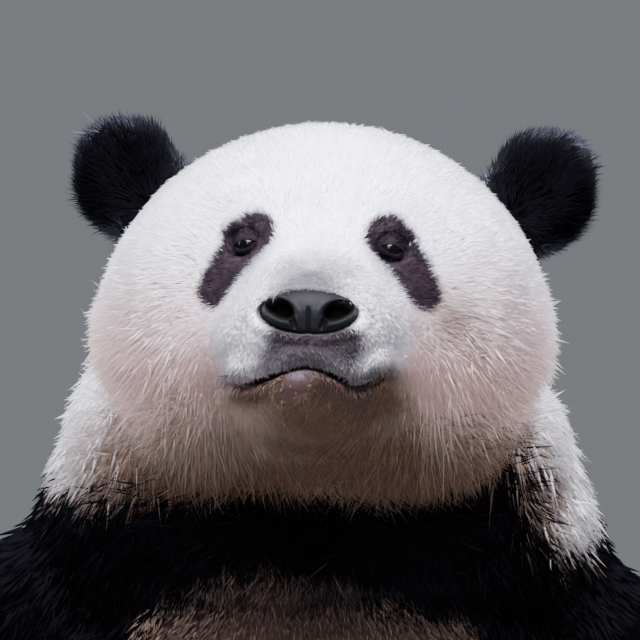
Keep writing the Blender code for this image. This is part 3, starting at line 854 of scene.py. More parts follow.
def bare_lips(site, lip):
    """The dark bare skin in the mouth's slit and round the nose pad."""
    across, back, up = site.local.T
    half_gap = 0.0020 + 0.0014 * ramp(np.abs(across), 0.010, 0.028)
    lips = lip * ramp(np.abs(site.over_mouth + 0.0010), half_gap + 0.0010, half_gap - 0.0006)
    seat = ramp(nose_seat(across, up), 1.10, 1.02) * (back < MUZZLE_FRONT) * site.on_head
    return np.maximum(lips, seat)


def bare_lids(site):
    """The dark bare rim of the lids round each eye."""
    lids = np.zeros(len(site.places))
    for letter, side in SIDES:
        sideways, upward, out = eye_axes(letter, side)
        offset = site.places - EYES[letter]
        u, v = offset @ sideways, offset @ upward
        rim = np.hypot(u / (LID_HALF_WIDTH + LID_MARGIN), (v + 0.0004) / (LID_HALF_HEIGHT + LID_MARGIN))
        lids = np.maximum(lids, ramp(rim, 1.14, 0.96) * (offset @ out > 0.0))
    return lids * site.on_head


def markings(places, parts, net):
    """Fields on the skin: dark fur, eye patch, tan and brown stain, grey fur and bare skin, some of them
    carrying painted shade, a painted highlight and painted rim light.
    """
    site = Site(places, parts, net)
    patch = eye_patches(site)
    dark = np.maximum(dark_fur(site), dark_round_eyes(site, patch))
    tan, brown = stain(site, dark)
    grey = grey_fur_and_ear_rim_light(site, patch)
    corner_shadow, lip_shadow = mouth_corners(site)
    lump, lip_highlight = chin(site)
    # The grey field takes the painted shadow under the upper lip and the painted highlight on the lip.
    grey = np.maximum(np.maximum(grey, lip_shadow), lip_highlight)
    # The painted shadow at the mouth's corners darkens the brown.
    brown = np.clip(brown + corner_shadow, 0.0, 1.0)
    round_lump = 0.80 * ramp(lump, 1.8, 1.1) * site.by_mouth
    brown = np.maximum(brown, round_lump * ramp(site.over_mouth, 0.0, -0.002))
    lip = ramp(np.abs(site.local[:, 0] - 0.004), 0.060, 0.050) * site.by_mouth
    lips = bare_lips(site, lip)
    inner_head = net.smooth(site.on_head.astype(float), 4) > 0.6
    clean = inner_head * (places[:, 2] > site.beard_edge + 0.02) * (patch < 0.3) * ~site.on_ear
    return {
        "dark": dark * (1.0 - clean), "patch": patch, "tan": tan, "brown": brown, "grey": grey,
        "lips": lips, "chin": ramp(lump, 1.06, 0.66) * lip * (1.0 - lips), "lids": bare_lids(site),
    }


# ---------------------------------------------------------------- the lie of the coat

def body_guides():
    """Points round the body, each with the way the hair lies there."""
    guides = [
        ((0.0, -0.13, 0.62), (0.0, -0.1, -1.0)), ((0.0, -0.18, 0.45), (0.0, 0.0, -1.0)),
        ((0.0, -0.17, 0.25), (0.0, 0.1, -1.0)), ((0.0, 0.25, 0.78), (0.0, 0.7, -0.7)),
        ((0.0, 0.34, 0.60), (0.0, 0.3, -1.0)), ((0.0, 0.38, 0.35), (0.0, 0.1, -1.0)),
        ((0.0, 0.36, 0.12), (0.0, -0.1, -1.0)), ((0.0, 0.10, 0.0), (0.0, 0.6, 0.0)),
        ((0.0, 0.43, 0.07), (0.0, 0.9, -0.5)),
    ]
    for letter, side in SIDES:
        guides += [
            ((side * 0.20, 0.00, 0.74), (side * 0.45, 0.1, -0.9)),
            ((side * 0.22, 0.12, 0.66), (side * 0.4, 0.3, -0.9)),
            ((side * 0.30, 0.10, 0.40), (0.0, 0.15, -1.0)),
            ((side * 0.30, 0.12, 0.22), (0.0, 0.0, -1.0)),
            ((side * 0.20, 0.30, 0.30), (0.0, 0.1, -1.0)),
            (middle(f"upper_arm_{letter}"), (side * 0.35, 0.0, -0.95)),
            ((side * 0.36, 0.08, 0.36), (side * 0.05, -0.3, -0.9)),
            (middle(f"forearm_{letter}"), (side * -0.15, -0.9, -0.35)),
            (middle(f"forepaw_{letter}"), (0.0, -0.95, -0.3)),
            (middle(f"thigh_{letter}"), (side * 0.25, -0.95, -0.15)),
            (middle(f"shank_{letter}"), (0.0, -0.95, -0.3)),
            (middle(f"hindfoot_{letter}"), (0.0, -0.35, 0.9)),
        ]
    return guides


def lie_on_head(local):
    """The way the hair lies on the head, in its axes: away from the nose, and sagging low on the cheeks."""
    across, _, up = local.T
    rays = unit(local - (NOSE_LOCAL + (0.0, 0.030, 0.020)))
    rays[:, 2] -= 0.16 * (ramp(np.abs(across), 0.02, 0.10) * ramp(up, 0.060, -0.050))
    rays[:, 2] -= 0.30 * ramp(up, -0.11, -0.17)
    beside_nose = 0.7 * bump(distance(local, NOSE_LOCAL), 0.060, 0.028) * ramp(np.abs(across), 0.015, 0.045)
    rays[:, 2] -= beside_nose * ramp(up, -0.020, -0.050)
    rays[:, 2] -= 1.3 * bump(up - mouth_line(across), 0.002, 0.012) * ramp(np.abs(across), 0.105, 0.070)
    return rays


def lie_of_coat(places, normals, parts):
    """The way the hair lies at each place, as a unit vector in the surface."""
    total = np.zeros_like(places)
    for point, direction in body_guides():
        gap = np.sum((places - np.array(point)) ** 2, axis=1)
        total += unit(direction) / (gap + 0.0009)[:, None] ** 1.5
    on_head = KINDS[parts] == "head"
    total = np.where(on_head[:, None], lie_on_head(to_head(places)) @ HEAD_AXES, unit(total))
    for letter, side in SIDES:
        base = middle(f"ear_{letter}") - ACROSS * side * 0.026 - UP * 0.030
        total = np.where((parts == FLESH.index(f"ear_{letter}"))[:, None], unit(places - base), total)
    return unit(total - normals * np.sum(total * normals, axis=1)[:, None])


# ---------------------------------------------------------------- the pads' places

PAD_DEPTH = 0.0085           # half thickness of a pad
PAD_STAND = 0.0020           # how far the middle of a pad lies outside the skin
TOE_PAD = (0.0098, 0.0118)   # half width and half height
LONG_PAD = (0.043, 0.0165)
TOE_PAD_DROP = 0.017         # from the underside of a claw down to its toe pad
LONG_PAD_HEIGHT = 0.133


def pad_spots():
    """Centre, axes and sizes of the pads on both soles: five toe pads and a long one under them."""
    skin = bpy.data.objects["skin"]
    spots = []
    for letter, side in SIDES:
        claws = [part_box(f"hindclaw_{letter}_{number}") for number in range(1, 6)]
        aims = [(0.5 * (low.x + high.x), low.z - TOE_PAD_DROP, *TOE_PAD) for low, high in claws]
        aims.append((middle(f"hindfoot_{letter}")[0], LONG_PAD_HEIGHT, *LONG_PAD))
        for x, z, wide, tall in aims:
            hit, place, normal, _ = skin.ray_cast(Vector((x, -1.0, z)), Vector((0.0, 1.0, 0.0)))
            if not hit:
                raise RuntimeError(f"No sole under the pad at {x:.3f}, {z:.3f}")
            out = unit(np.array(normal) + (0.0, -1.5, 0.0))
            sideways = unit(np.cross(out, (0.0, 0.0, 1.0)))
            axes = (sideways, out, np.cross(sideways, out))
            spots.append((np.array(place) + out * PAD_STAND, axes, (wide, PAD_DEPTH, tall)))
    return spots


def off_pads(places, spots):
    """How far outside the nearest pad each place is: below 1 a pad covers it."""
    nearest = np.full(len(places), 9.0)
    for centre, axes, sizes in spots:
        local = (places - centre) @ np.array(axes).T / sizes
        nearest = np.minimum(nearest, np.linalg.norm(local, axis=1))
    return nearest


# ---------------------------------------------------------------- the skin as the coat's ground

# Tufts for each square centimetre of skin, before they are scaled to the coat's total.
DENSITY = {
    "head": 60.0, "neck": 36.0, "chest": 15.0, "belly": 5.5, "tail": 7.0, "ear": 50.0, "upper_arm": 12.0,
    "forearm": 7.5, "forepaw": 13.0, "thigh": 6.0, "shank": 6.5, "hindfoot": 12.0,
}
COAT_PIECES = (
    "coat_face", "coat_crown", "coat_cheek_l", "coat_cheek_r", "coat_throat", "coat_ears",
    "coat_neck", "coat_chest", "coat_arms", "coat_back", "coat_belly", "coat_legs",
)
GUARDLESS_PIECES = ("coat_belly", "coat_chest", "coat_ears")     # no long single hairs stand out of these
PIECE_LIMIT = 200000         # a coat piece has fewer triangles than this
TUFT_FACES = 4
TUFT_PATCH = 0.003           # width of a tuft's patch on the unwrap
ROOT_SUNK = 0.0012           # how far a tuft starts below the skin
TIP_FLOOR_GAP = 0.0008       # the least height of a tip and of a bend over the floor
BEND_FLOOR_GAP = 0.0016
PAD_CLEARANCE = 1.08         # no tuft grows nearer to a pad's middle than this, in pad sizes
SHORTEST, LONGEST = 0.0040, 0.060
THINNEST, WIDEST_TUFT = 0.0004, 0.0022


def coat_piece_of(centres, parts):
    """The coat piece that each face belongs to, as an index into COAT_PIECES."""
    local = to_head(centres)
    names = KINDS[parts]
    head = names == "head"
    coat = np.full(len(centres), "coat_belly", dtype=object)
    coat[(centres[:, 1] > 0.09) | (names == "tail")] = "coat_back"
    coat[names == "neck"] = "coat_neck"
    coat[names == "chest"] = "coat_chest"
    coat[np.isin(names, ("upper_arm", "forearm", "forepaw"))] = "coat_arms"
    coat[np.isin(names, ("thigh", "shank", "hindfoot"))] = "coat_legs"
    coat[names == "ear"] = "coat_ears"
    coat[head] = np.where(local[head, 0] > 0.0, "coat_cheek_l", "coat_cheek_r")
    coat[head & (local[:, 2] > 0.035)] = "coat_crown"
    coat[head & (local[:, 2] < -0.118)] = "coat_throat"
    coat[head & (distance(local, NOSE_LOCAL) < 0.105)] = "coat_face"
    return np.array([COAT_PIECES.index(name) for name in coat])


def skin_triangles(mesh):
    """Vertices and places on the unwrap of each triangle's corners."""
    count = len(mesh.polygons)
    corners = np.empty(count * 3, dtype=np.int32)
    mesh.loops.foreach_get("vertex_index", corners)
    uvs = np.empty(count * 6, dtype=np.float32)
    mesh.uv_layers[UV_NAME].data.foreach_get("uv", uvs)
    return corners.reshape(-1, 3), uvs.reshape(-1, 3, 2).astype(float)


class Ground:
    """The skin that the tufts grow from: its vertices, triangles, markings and crowding."""

    def __init__(self, mesh):
        self.places, normals, edges = mesh_arrays(mesh)
        self.net = Net(edges, len(self.places))
        self.corners, self.uvs = skin_triangles(mesh)
        self.parts = np.round(get_attribute(mesh, "part")).astype(int)
        self.names = KINDS[self.parts]
        self.on_head = self.names == "head"
        self.local = to_head(self.places)
        self.lie = get_attribute(mesh, "lie")
        self.depth = get_attribute(mesh, "depth")
        self.fields = {name: get_attribute(mesh, name) for name in FIELDS}
        self.grown = unit(self.net.smooth(normals, 3))
        self.front = self.chest_front()
        self.frizz = self.border_frizz()
        self.by_lip = np.clip(self.net.smooth(self.fields["chin"], 5) * 3.0, 0.0, 1.0)
        self.from_patch = np.min([np.abs(patch_field(self.local, side)) for letter, side in SIDES], axis=0)
        self.fringe = self.lip_fringe()
        triangle = self.places[self.corners]
        across, along = triangle[:, 1] - triangle[:, 0], triangle[:, 2] - triangle[:, 0]
        self.crowding = self.density()[self.corners].mean(axis=1)
        self.weights = 0.5 * np.linalg.norm(np.cross(across, along), axis=1) * self.crowding
        self.coat_piece = coat_piece_of(triangle.mean(axis=1), self.parts[self.corners[:, 0]])

    def chest_front(self):
        """The short, smooth coat over the front of the chest, under the band."""
        _, y, z = self.places.T
        on_front = np.isin(self.names, ("belly", "chest", "neck")) * ramp(z, 0.40, 0.52)
        return on_front * (ramp(y, 0.10, 0.0) * ramp(z, 0.632, 0.612))

    def border_frizz(self):
        """The ragged fur along the borders of the black markings, off the head."""
        border = self.net.smooth(self.fields["dark"], 7)
        return 4.0 * border * (1.0 - border) * ~self.on_head * (1.0 - self.front)

    def lip_fringe(self):
        """The fringe of the upper lip that hangs over the mouth."""
        across, back, up = self.local.T
        by_lip = bump(up - mouth_line(across), 0.0060, 0.0045)
        return by_lip * ramp(back, -0.03, -0.05) * ramp(np.abs(across), 0.066, 0.050)

    def density(self):
        """How crowded the tufts are at each vertex: most on the face, and none on bare skin."""
        across, back, up = self.local.T
        _, y, z = self.places.T
        dense = self.net.smooth(np.array([DENSITY[kind] for kind in KINDS])[self.parts], 3)
        dense *= 1.0 + 0.8 * self.frizz
        dense *= 1.0 + 1.2 * self.on_head * ramp(self.from_patch, 0.012, 0.003)
        dense *= 1.0 + 1.3 * self.on_head * ramp(distance(self.local, NOSE_LOCAL), 0.13, 0.05)
        dense *= blend(1.0, 0.42, self.on_head * ramp(back, 0.19, 0.26))
        dense *= 1.0 + 1.6 * (self.names == "belly") * ramp(z, 0.40, 0.52) * ramp(y, 0.10, 0.0)
        bare = np.clip(self.fields["lips"] + self.fields["lids"] + 0.615 * self.fields["chin"], 0.0, 1.0)
        bare = np.maximum(bare, ramp(nose_seat(across, up), 1.06, 0.98) * (back < MUZZLE_FRONT))
        dense *= np.clip(1.0 - bare * 1.6, 0.0, 1.0)
        return dense * blend(0.12, 1.0, ramp(z, 0.004, 0.030))


# ---------------------------------------------------------------- tufts

class Roots:
    """Random places on some of the skin's triangles, clear of the pads, where tufts grow."""

    def __init__(self, ground, faces, count, spots, random):
        weights = ground.weights[faces]
        pick = random.choice(len(faces), size=count, p=weights / weights.sum())
        first, second = np.sqrt(random.random(count)), random.random(count)
        self.corners = ground.corners[faces[pick]]
        self.shares = np.stack((1.0 - first, first * (1.0 - second), first * second), axis=1)
        clear = off_pads(self.spread(ground.places), spots) > PAD_CLEARANCE
        self.faces = faces[pick][clear]
        self.corners, self.shares = self.corners[clear], self.shares[clear]
        self.count = len(self.faces)

    def spread(self, values):
        """A field of the skin's vertices, at each root."""
        shares = self.shares if values.ndim == 1 else self.shares[:, :, None]
        return np.sum(values[self.corners] * shares, axis=1)


def tuft_sizes(name, ground, roots, pitch, random):
    """Places, directions and sizes of one coat piece's tufts, at their roots."""
    spread = roots.spread
    place, depth = spread(ground.places), spread(ground.depth)
    local = to_head(place)
    across, back, up = local.T
    swirl = waves(place, 0.030, seed=21) * math.radians(9.0)
    swirl += waves(place, 0.008, seed=22) * math.radians(5.0)
    length = np.clip(depth * 2.45 + 0.0034, SHORTEST, LONGEST) * (1.0 + 0.15 * waves(place, 0.012, seed=23))
    width = np.clip(pitch * blend(0.50, 0.22, ramp(depth, 0.0025, 0.008)), THINNEST, WIDEST_TUFT)
    guard = random.random(roots.count) < 0.07 * ramp(depth, 0.006, 0.012) * (name not in GUARDLESS_PIECES)
    frizz = spread(ground.frizz)
    from_mouth = np.abs(up - mouth_line(across) - 0.006)
    by_mouth = ramp(from_mouth, 0.034, 0.014) * ramp(np.abs(across), 0.105, 0.080)
    by_mouth *= ramp(back, -0.010, -0.050)
    on_head = spread(ground.on_head.astype(float)) > 0.5
    length += 0.0060 * bump(distance(local, NOSE_LOCAL), 0.080, 0.022) * (1.0 - by_mouth) * on_head
    length *= 1.0 - 0.28 * by_mouth
    off_patch = blend(0.45, 1.0, ramp(nearest_patch(local), 0.002, 0.024))
    length *= off_patch * (1.0 + 0.05 * spread(ground.fringe))
    length *= 1.0 - 0.55 * frizz - 0.04 * (name == "coat_ears")
    length *= (1.0 - 0.68 * spread(ground.front)) * (1.0 - 0.6 * spread(ground.by_lip))
    beard = spread(ground.on_head * ramp(ground.local[:, 2], -0.045, -0.120))
    return {
        "place": place, "normal": unit(spread(ground.grown)), "lie": unit(spread(ground.lie)), "depth": depth,
        "length": length, "width": width * blend(0.72, 1.0, ramp(spread(ground.from_patch), 0.004, 0.014)),
        "swirl": swirl, "guard": guard, "stray": 1.0 + frizz + 0.75 * beard,
        "uv": np.sum(ground.uvs[roots.faces] * roots.shares[:, :, None], axis=1),
    }


def tuft_corners(sizes, chosen, random):
    """The four corners of every tuft: its root, two sides where it bends and is widest, and its tip."""
    count = len(sizes["place"])
    normal, lie, guard, depth = sizes["normal"], sizes["lie"], sizes["guard"], sizes["depth"]
    turn = random.normal(size=count) * chosen.straying * np.where(guard, 1.6, 1.0) * sizes["stray"]
    turn += sizes["swirl"]
    heading = lie * np.cos(turn)[:, None] + unit(np.cross(normal, lie)) * np.sin(turn)[:, None]
    reach = sizes["length"] * random.uniform(0.68, 1.18, count)
    reach *= np.where(guard, 1.12, 1.0)
    lifted = np.where(guard, random.uniform(1.0, 1.25, count), random.uniform(0.74, 1.02, count))
    stand = depth * chosen.lift * lifted * blend(0.66, 1.0, ramp(depth, 0.003, 0.009))
    stand = np.minimum(stand, reach * 0.85)
    along = np.sqrt(reach ** 2 - stand ** 2)
    width = sizes["width"] * random.uniform(0.7, 1.3, count)
    start = sizes["place"] - normal * ROOT_SUNK
    bend = sizes["place"] + heading * (0.42 * along)[:, None] + normal * (0.52 * stand)[:, None]
    tip = sizes["place"] + heading * along[:, None] + normal * stand[:, None]
    tip[:, 2] -= 0.10 * reach * ramp(reach, 0.012, 0.04)
    tip[:, 2] = np.maximum(tip[:, 2], TIP_FLOOR_GAP)
    bend[:, 2] = np.maximum(bend[:, 2], BEND_FLOOR_GAP)
    run = unit(tip - start)
    flat = unit(np.cross(run, normal))
    twist = random.normal(size=count) * 0.28
    broad = flat * np.cos(twist)[:, None] + unit(np.cross(flat, run)) * np.sin(twist)[:, None]
    half = broad * (0.5 * width)[:, None]
    places = np.stack((start, bend + half, bend - half, tip), axis=1)
    facing = np.cross(places[:, 1] - places[:, 0], places[:, 2] - places[:, 0])
    turned = np.flatnonzero(np.einsum("ij,ij->i", facing, places[:, 0] - places[:, 3]) > 0.0)
    places[turned[:, None], (1, 2)] = places[turned[:, None], (2, 1)]
    return places


def tuft_mesh(places, uv):
    """One mesh of closed, bent tufts of four faces, each with a patch of the unwrap at its root's place."""
    count = len(places)
    corners = np.array(((0, 1, 2), (3, 2, 1), (0, 3, 1), (0, 2, 3)))
    loops = (corners.ravel()[None, :] + 4 * np.arange(count)[:, None]).ravel()
    mesh = bpy.data.meshes.new("tufts")
    mesh.vertices.add(count * 4)
    mesh.vertices.foreach_set("co", places.astype(np.float32).ravel())
    mesh.loops.add(len(loops))
    mesh.loops.foreach_set("vertex_index", loops.astype(np.int32))
    mesh.polygons.add(count * TUFT_FACES)
    mesh.polygons.foreach_set("loop_start", (3 * np.arange(count * TUFT_FACES)).astype(np.int32))
    mesh.polygons.foreach_set("loop_total", np.full(count * TUFT_FACES, 3, dtype=np.int32))
    mesh.update(calc_edges=True)
    mesh.shade_smooth()
    spots = np.array(((0.0, 0.5), (0.45, 0.0), (0.45, 1.0), (1.0, 0.5))) * TUFT_PATCH
    uvs = uv[:, None, :] + spots[corners.ravel()][None, :, :] - 0.5 * TUFT_PATCH
    layer = mesh.uv_layers.new(name=UV_NAME)
    layer.data.foreach_set("uv", uvs.astype(np.float32).ravel())
    return mesh


def mark_tufts(mesh, name, ground, roots, sizes, random):
    """Hands each tuft the markings at its root, its shade, and the normal it is lit by."""
    def mark(field, values):
        set_attribute(mesh, field, np.repeat(values, 4, axis=0))

    spread, count = roots.spread, roots.count
    local = to_head(sizes["place"])
    across, _, up = local.T
    dark = spread(ground.fields["dark"])
    stray = random.normal(size=count) * 1.3 * np.clip(dark * (1.0 - dark), 0.0, 0.25)
    stray *= 1.0 - 0.85 * spread(ground.front)
    start, end = (0.30, 0.70) if name == "coat_throat" else (0.12, 0.88)
    mark("dark", ramp(dark + stray, start, end))
    for field in ("tan", "brown", "grey"):
        mark(field, spread(ground.fields[field]))
    half_way = to_head(sizes["place"] + sizes["lie"] * (0.5 * sizes["length"])[:, None])
    inside = ramp(nearest_patch(half_way) + random.normal(size=count) * 0.0013, 0.0026, -0.0026)
    mark("patch", inside * (spread(ground.on_head.astype(float)) > 0.5))
    set_attribute(mesh, "along", np.tile((0.0, 0.45, 0.45, 1.0), count))
    mark("shade", random.random(count) * (1.0 - 0.9 * spread(ground.by_lip)))
    mark("guard", sizes["guard"].astype(float))
    open_face = 0.6 * bump(distance(local, NOSE_LOCAL), 0.055, 0.038) * ramp(up, -0.030, -0.060)
    open_face *= ramp(up, -0.125, -0.100)
    fringe = spread(ground.fringe) * ramp(np.abs(across), 0.050, 0.028)
    mark("grown", unit(sizes["normal"] + np.maximum(fringe, open_face)[:, None] * (0.0, -0.35, 0.08)))


def unwrap(piece):
    """Unwraps the skin by its own shape, into the map that the tufts share."""
    piece.data.uv_layers.new(name=UV_NAME)
    view = bpy.context.view_layer
    for other in view.objects:
        other.select_set(False)
    view.objects.active = piece
    piece.select_set(True)
    bpy.ops.object.mode_set(mode="EDIT")
    bpy.ops.mesh.select_all(action="SELECT")
    bpy.ops.uv.smart_project(angle_limit=math.radians(66.0), island_margin=0.001)
    bpy.ops.object.mode_set(mode="OBJECT")
    piece.select_set(False)


# ---------------------------------------------------------------- materials

PALE_BROWN = (0.34, 0.230, 0.180)         # sun-bleached tips of the brown fur
FROSTED_BLACK_AND_RIM_LIGHT = (0.105, 0.103, 0.140)     # grey tips over the black fur, and painted rim light on the ears' rims
# painted sheen: a lighter bluish colour for the tips of the black fur
PAINTED_BLACK_SHEEN = (0.060, 0.055, 0.080)
# painted highlight colour for the bare lip, mixed in where the grey field lies
LIP_HIGHLIGHT = (0.085, 0.080, 0.108)
GREY_EYE = (0.004, 0.003, 0.003)


def tuft_tones(shader, colours, fur, along, shade):
    """The fur's colour along a tuft: browner at the root, and paler at the tips of some tufts."""
    tan, brown, grey = shader.attributes("tan", "brown", "grey")
    light = [min(1.0, 0.55 + 0.45 * channel) for channel in colours.white]
    pale = shader.mixed(brown, light, PALE_BROWN)
    browner = brown * 0.35 + tan * 0.10 + 0.01
    tipped = shader.mixed(brown * 0.12 + tan * 0.08, fur, pale)
    root = shader.mixed(browner, fur, colours.brown)
    fur = shader.mixed(along, root, tipped)
    fur = shader.mixed(shade * browner, fur, colours.brown)
    frost = shade ** 4.0 * grey * along * (1.0 - brown * 0.95) * (1.55 - grey * 1.47)
    fur = shader.mixed(frost, fur, light)
    fur = shader.mixed(shade ** 5.0 * brown * (1.0 - grey) * along * 0.70, fur, pale)
    return shader.mixed(shader.attribute("guard") * along * (0.24 - grey * 0.22), fur, pale)


def fur_colour(shader, colours, along=None, shade=None):
    """The fur's colour from the fields of the markings, with a tuft's own tones where it has them."""
    tan, brown, grey, patch, dark = shader.attributes("tan", "brown", "grey", "patch", "dark")
    white = shader.mixed(shader.noise(55.0, 4.0, 0.6) * 0.12, colours.white, colours.tan)
    fur = shader.mixed(tan, white, colours.tan)
    fur = shader.mixed(brown * 1.45, fur, colours.ochre)
    fur = shader.mixed(brown ** 2.2, fur, colours.brown)
    fur = shader.mixed(grey, fur, colours.grey)
    if along is not None:
        fur = tuft_tones(shader, colours, fur, along, shade)
    purple = shader.mixed(shader.noise(120.0, 3.0, 0.7) * 2.6 - 0.9, colours.patch, colours.black)
    # grey frosting of the black fur, which on the ears' rims is painted rim light
    black = shader.mixed(grey * 0.75, colours.black, FROSTED_BLACK_AND_RIM_LIGHT)
    black = shader.mixed(patch * (1.0 - dark * 0.85), black, purple)
    if along is not None:
        # painted sheen towards the tips of the black tufts, strongest on the eye patches
        black = shader.mixed(along * shade * (patch * 0.16 + 0.032), black, PAINTED_BLACK_SHEEN)
    covered = shader.output("ShaderNodeMath", {"operation": "MAXIMUM"}, {0: dark, 1: patch})
    return shader.mixed(covered, fur, black)


def coat_material(colours):
    """Matt fur, lit mostly by the normal of the skin that a tuft has grown from."""
    shader = Shader("fur", Roughness=0.8, Specular_IOR_Level=0.0)
    fur = fur_colour(shader, colours, *shader.attributes("along", "shade"))
    grown = shader.attribute("grown", "Vector")
    own = shader.output("ShaderNodeNewGeometry", {}, {}, "Normal")
    soft = shader.output("ShaderNodeMix", {"data_type": "VECTOR"}, {0: 0.92, 4: own, 5: grown}, 1)
    normal = shader.output("ShaderNodeVectorMath", {"operation": "NORMALIZE"}, {0: soft})
    return shader.feed(Base_Color=fur, Normal=normal)


def skin_material(colours):
    """The fur's colours under the coat, with bare lips, chin and lids that shine a little."""
    shader = Shader("skin", Roughness=0.6, Specular_IOR_Level=0.0, Coat_Roughness=0.38, Coat_IOR=1.35)
    grey, chin_skin, lips, lids = shader.attributes("grey", "chin", "lips", "lids")
    # the painted highlight on the bare lip
    lip = shader.mixed(grey * shader.noise(160.0, 4.0, 0.7) * 2.0, colours.lip, LIP_HIGHLIGHT)
    lip = shader.mixed(shader.noise(330.0, 4.0, 0.75) * 5.0 - 2.3, lip, colours.brown)
    dark_lip = shader.mixed(shader.noise(900.0, 2.0) * 0.4, (0.003, 0.0020, 0.0022), (0.010, 0.006, 0.006))
    lid = shader.mixed(shader.noise(260.0, 3.0) * 0.7, (0.004, 0.0032, 0.0045), (0.012, 0.0098, 0.013))
    shown = shader.mixed(chin_skin, fur_colour(shader, colours), lip)
    shown = shader.mixed(lips, shown, dark_lip)
    shown = shader.mixed(lids, shown, lid)
    rough = 0.75 - lids * 0.12 - lips * 0.30
    wet = lips * 0.5 + lids * 0.04 + chin_skin * 0.10
    relief = shader.bumped(shader.noise(420.0, 4.0, 0.7), 0.35, 0.0012)
    return shader.feed(Base_Color=shown, Roughness=rough, Coat_Weight=wet, Normal=relief)


def eye_material(colours, name):
    """A black pupil and dark iris under a cornea whose shine is held to the wet spot."""
    shader = Shader(name, Roughness=0.12, Coat_Roughness=0.06, Specular_IOR_Level=0.06,
                    Coat_IOR=1.36, Coat_Tint=(0.6, 0.78, 1.0, 1.0))
    pupil = (0.001, 0.001, 0.001)
    stops = [(0.0, pupil), (0.20, pupil), (0.24, tuple(colours.iris)),
             (0.40, tuple(0.6 * channel for channel in colours.iris)), (0.46, GREY_EYE), (0.70, GREY_EYE)]
    iris = shader.output("ShaderNodeValToRGB", {"stops": stops}, {"Fac": shader.attribute("tilt")})
    shown = shader.mixed(shader.noise(600.0, 3.0) * 0.5, iris, GREY_EYE)
    return shader.feed(Base_Color=shown, Coat_Weight=shader.attribute("wet") * 0.55 + 0.015)


def nose_material(colours):
    """Black pebbled skin, duller in the nostrils and blacker there as painted shade."""
    shader = Shader("nose_skin", Specular_IOR_Level=0.08)
    hollow = shader.attribute("hollow")
    pebbles = shader.output("ShaderNodeTexVoronoi", {"feature": "DISTANCE_TO_EDGE"},
                            {"Vector": shader.place(), "Scale": 950.0}, 0)
    shown = shader.mixed(shader.noise(180.0, 4.0) * 0.7, colours.nose, (0.007, 0.0066, 0.010))
    # painted shade: a blacker colour deep in the nostrils
    shown = shader.mixed(hollow, shown, (0.0012, 0.001, 0.0012))
    rough = 0.36 + shader.noise(320.0) * 0.12 + hollow * 0.4
    return shader.feed(Base_Color=shown, Roughness=rough, Normal=shader.bumped(pebbles ** 0.6, 0.45, 0.0005))


def horn_material(colours):
    """Grey-brown horn with a darker grain."""
    shader = Shader("claw_horn", Specular_IOR_Level=0.22)
    grain = shader.noise(260.0, 4.0)
    shown = shader.mixed(grain, colours.claw, [0.35 * channel for channel in colours.claw])
    return shader.feed(Base_Color=shown, Roughness=0.42 + grain * 0.2,
                       Normal=shader.bumped(shader.noise(700.0), 0.2, 0.0004))


def pad_material():
    """Dark, creased, leathery skin."""
    shader = Shader("pad_skin", Specular_IOR_Level=0.25)
    creases = shader.noise(420.0, 4.0, 0.7)
    shown = shader.mixed(shader.noise(90.0, 3.0), (0.020, 0.0155, 0.0155), (0.009, 0.0072, 0.0078))
    return shader.feed(Base_Color=shown, Roughness=0.5 + creases * 0.25,
                       Normal=shader.bumped(creases, 0.5, 0.0010))


def floor_material(colours):
    shader = Shader("floor", Roughness=0.85, Specular_IOR_Level=0.2)
    shown = shader.mixed(shader.noise(3.0), colours.floor, [0.96 * channel for channel in colours.floor])
    return shader.feed(Base_Color=shown)


# ---------------------------------------------------------------- operators

class PANDA_OT_skin(bpy.types.Operator):
    """Build the skin inside the coat, with its face, markings and unwrap"""
    bl_idname = "panda.skin"
    bl_label = "Skin"

    def execute(self, context):
        chosen = settings().skin
        mesh = sculpt_face(finer(inset_skin(fused_skin(chosen.grain)), chosen.face_rounds))
        places, normals, edges = mesh_arrays(mesh)
        net = Net(edges, len(places))
        parts = nearest_parts(places)
        for name, values in markings(places, parts, net).items():
            set_attribute(mesh, name, values)
        set_attribute(mesh, "part", parts.astype(float))
        set_attribute(mesh, "lie", lie_of_coat(places, unit(net.smooth(normals, 2)), parts))
        mesh.shade_smooth()
        piece = add_object("skin", mesh)
        unwrap(piece)
        finish_piece(piece, skin_material(settings().colour), FLESH)
        return {"FINISHED"}


class PANDA_OT_coat(bpy.types.Operator):
    """Grow the coat's tufts over the skin, in pieces"""
    bl_idname = "panda.coat"
    bl_label = "Coat"

    def execute(self, context):
        chosen = settings().coat
        ground = Ground(bpy.data.objects["skin"].data)
        material = coat_material(settings().colour)
        total = float(ground.weights.sum())
        spots = pad_spots()
        for index, name in enumerate(COAT_PIECES):
            random = np.random.default_rng(chosen.seed + index)
            faces = np.flatnonzero(ground.coat_piece == index)
            count = int(round(chosen.tufts * ground.weights[faces].sum() / total))
            if count * TUFT_FACES >= PIECE_LIMIT:
                raise RuntimeError(f"{name} would have {count * TUFT_FACES} triangles")
            roots = Roots(ground, faces, count, spots, random)
            pitch = 1.0 / np.sqrt(ground.crowding[roots.faces] * chosen.tufts / total)
            sizes = tuft_sizes(name, ground, roots, pitch, random)
            mesh = tuft_mesh(tuft_corners(sizes, chosen, random), sizes["uv"])
            mark_tufts(mesh, name, ground, roots, sizes, random)
            finish_piece(add_object(name, mesh), material)
        return {"FINISHED"}


CORNEA_BULGE = 0.055             # as a share of the eyeball's radius
WET_SPOT = (-0.0030, 0.0012)     # middle of the wet spot, outwards and up from the middle of the opening


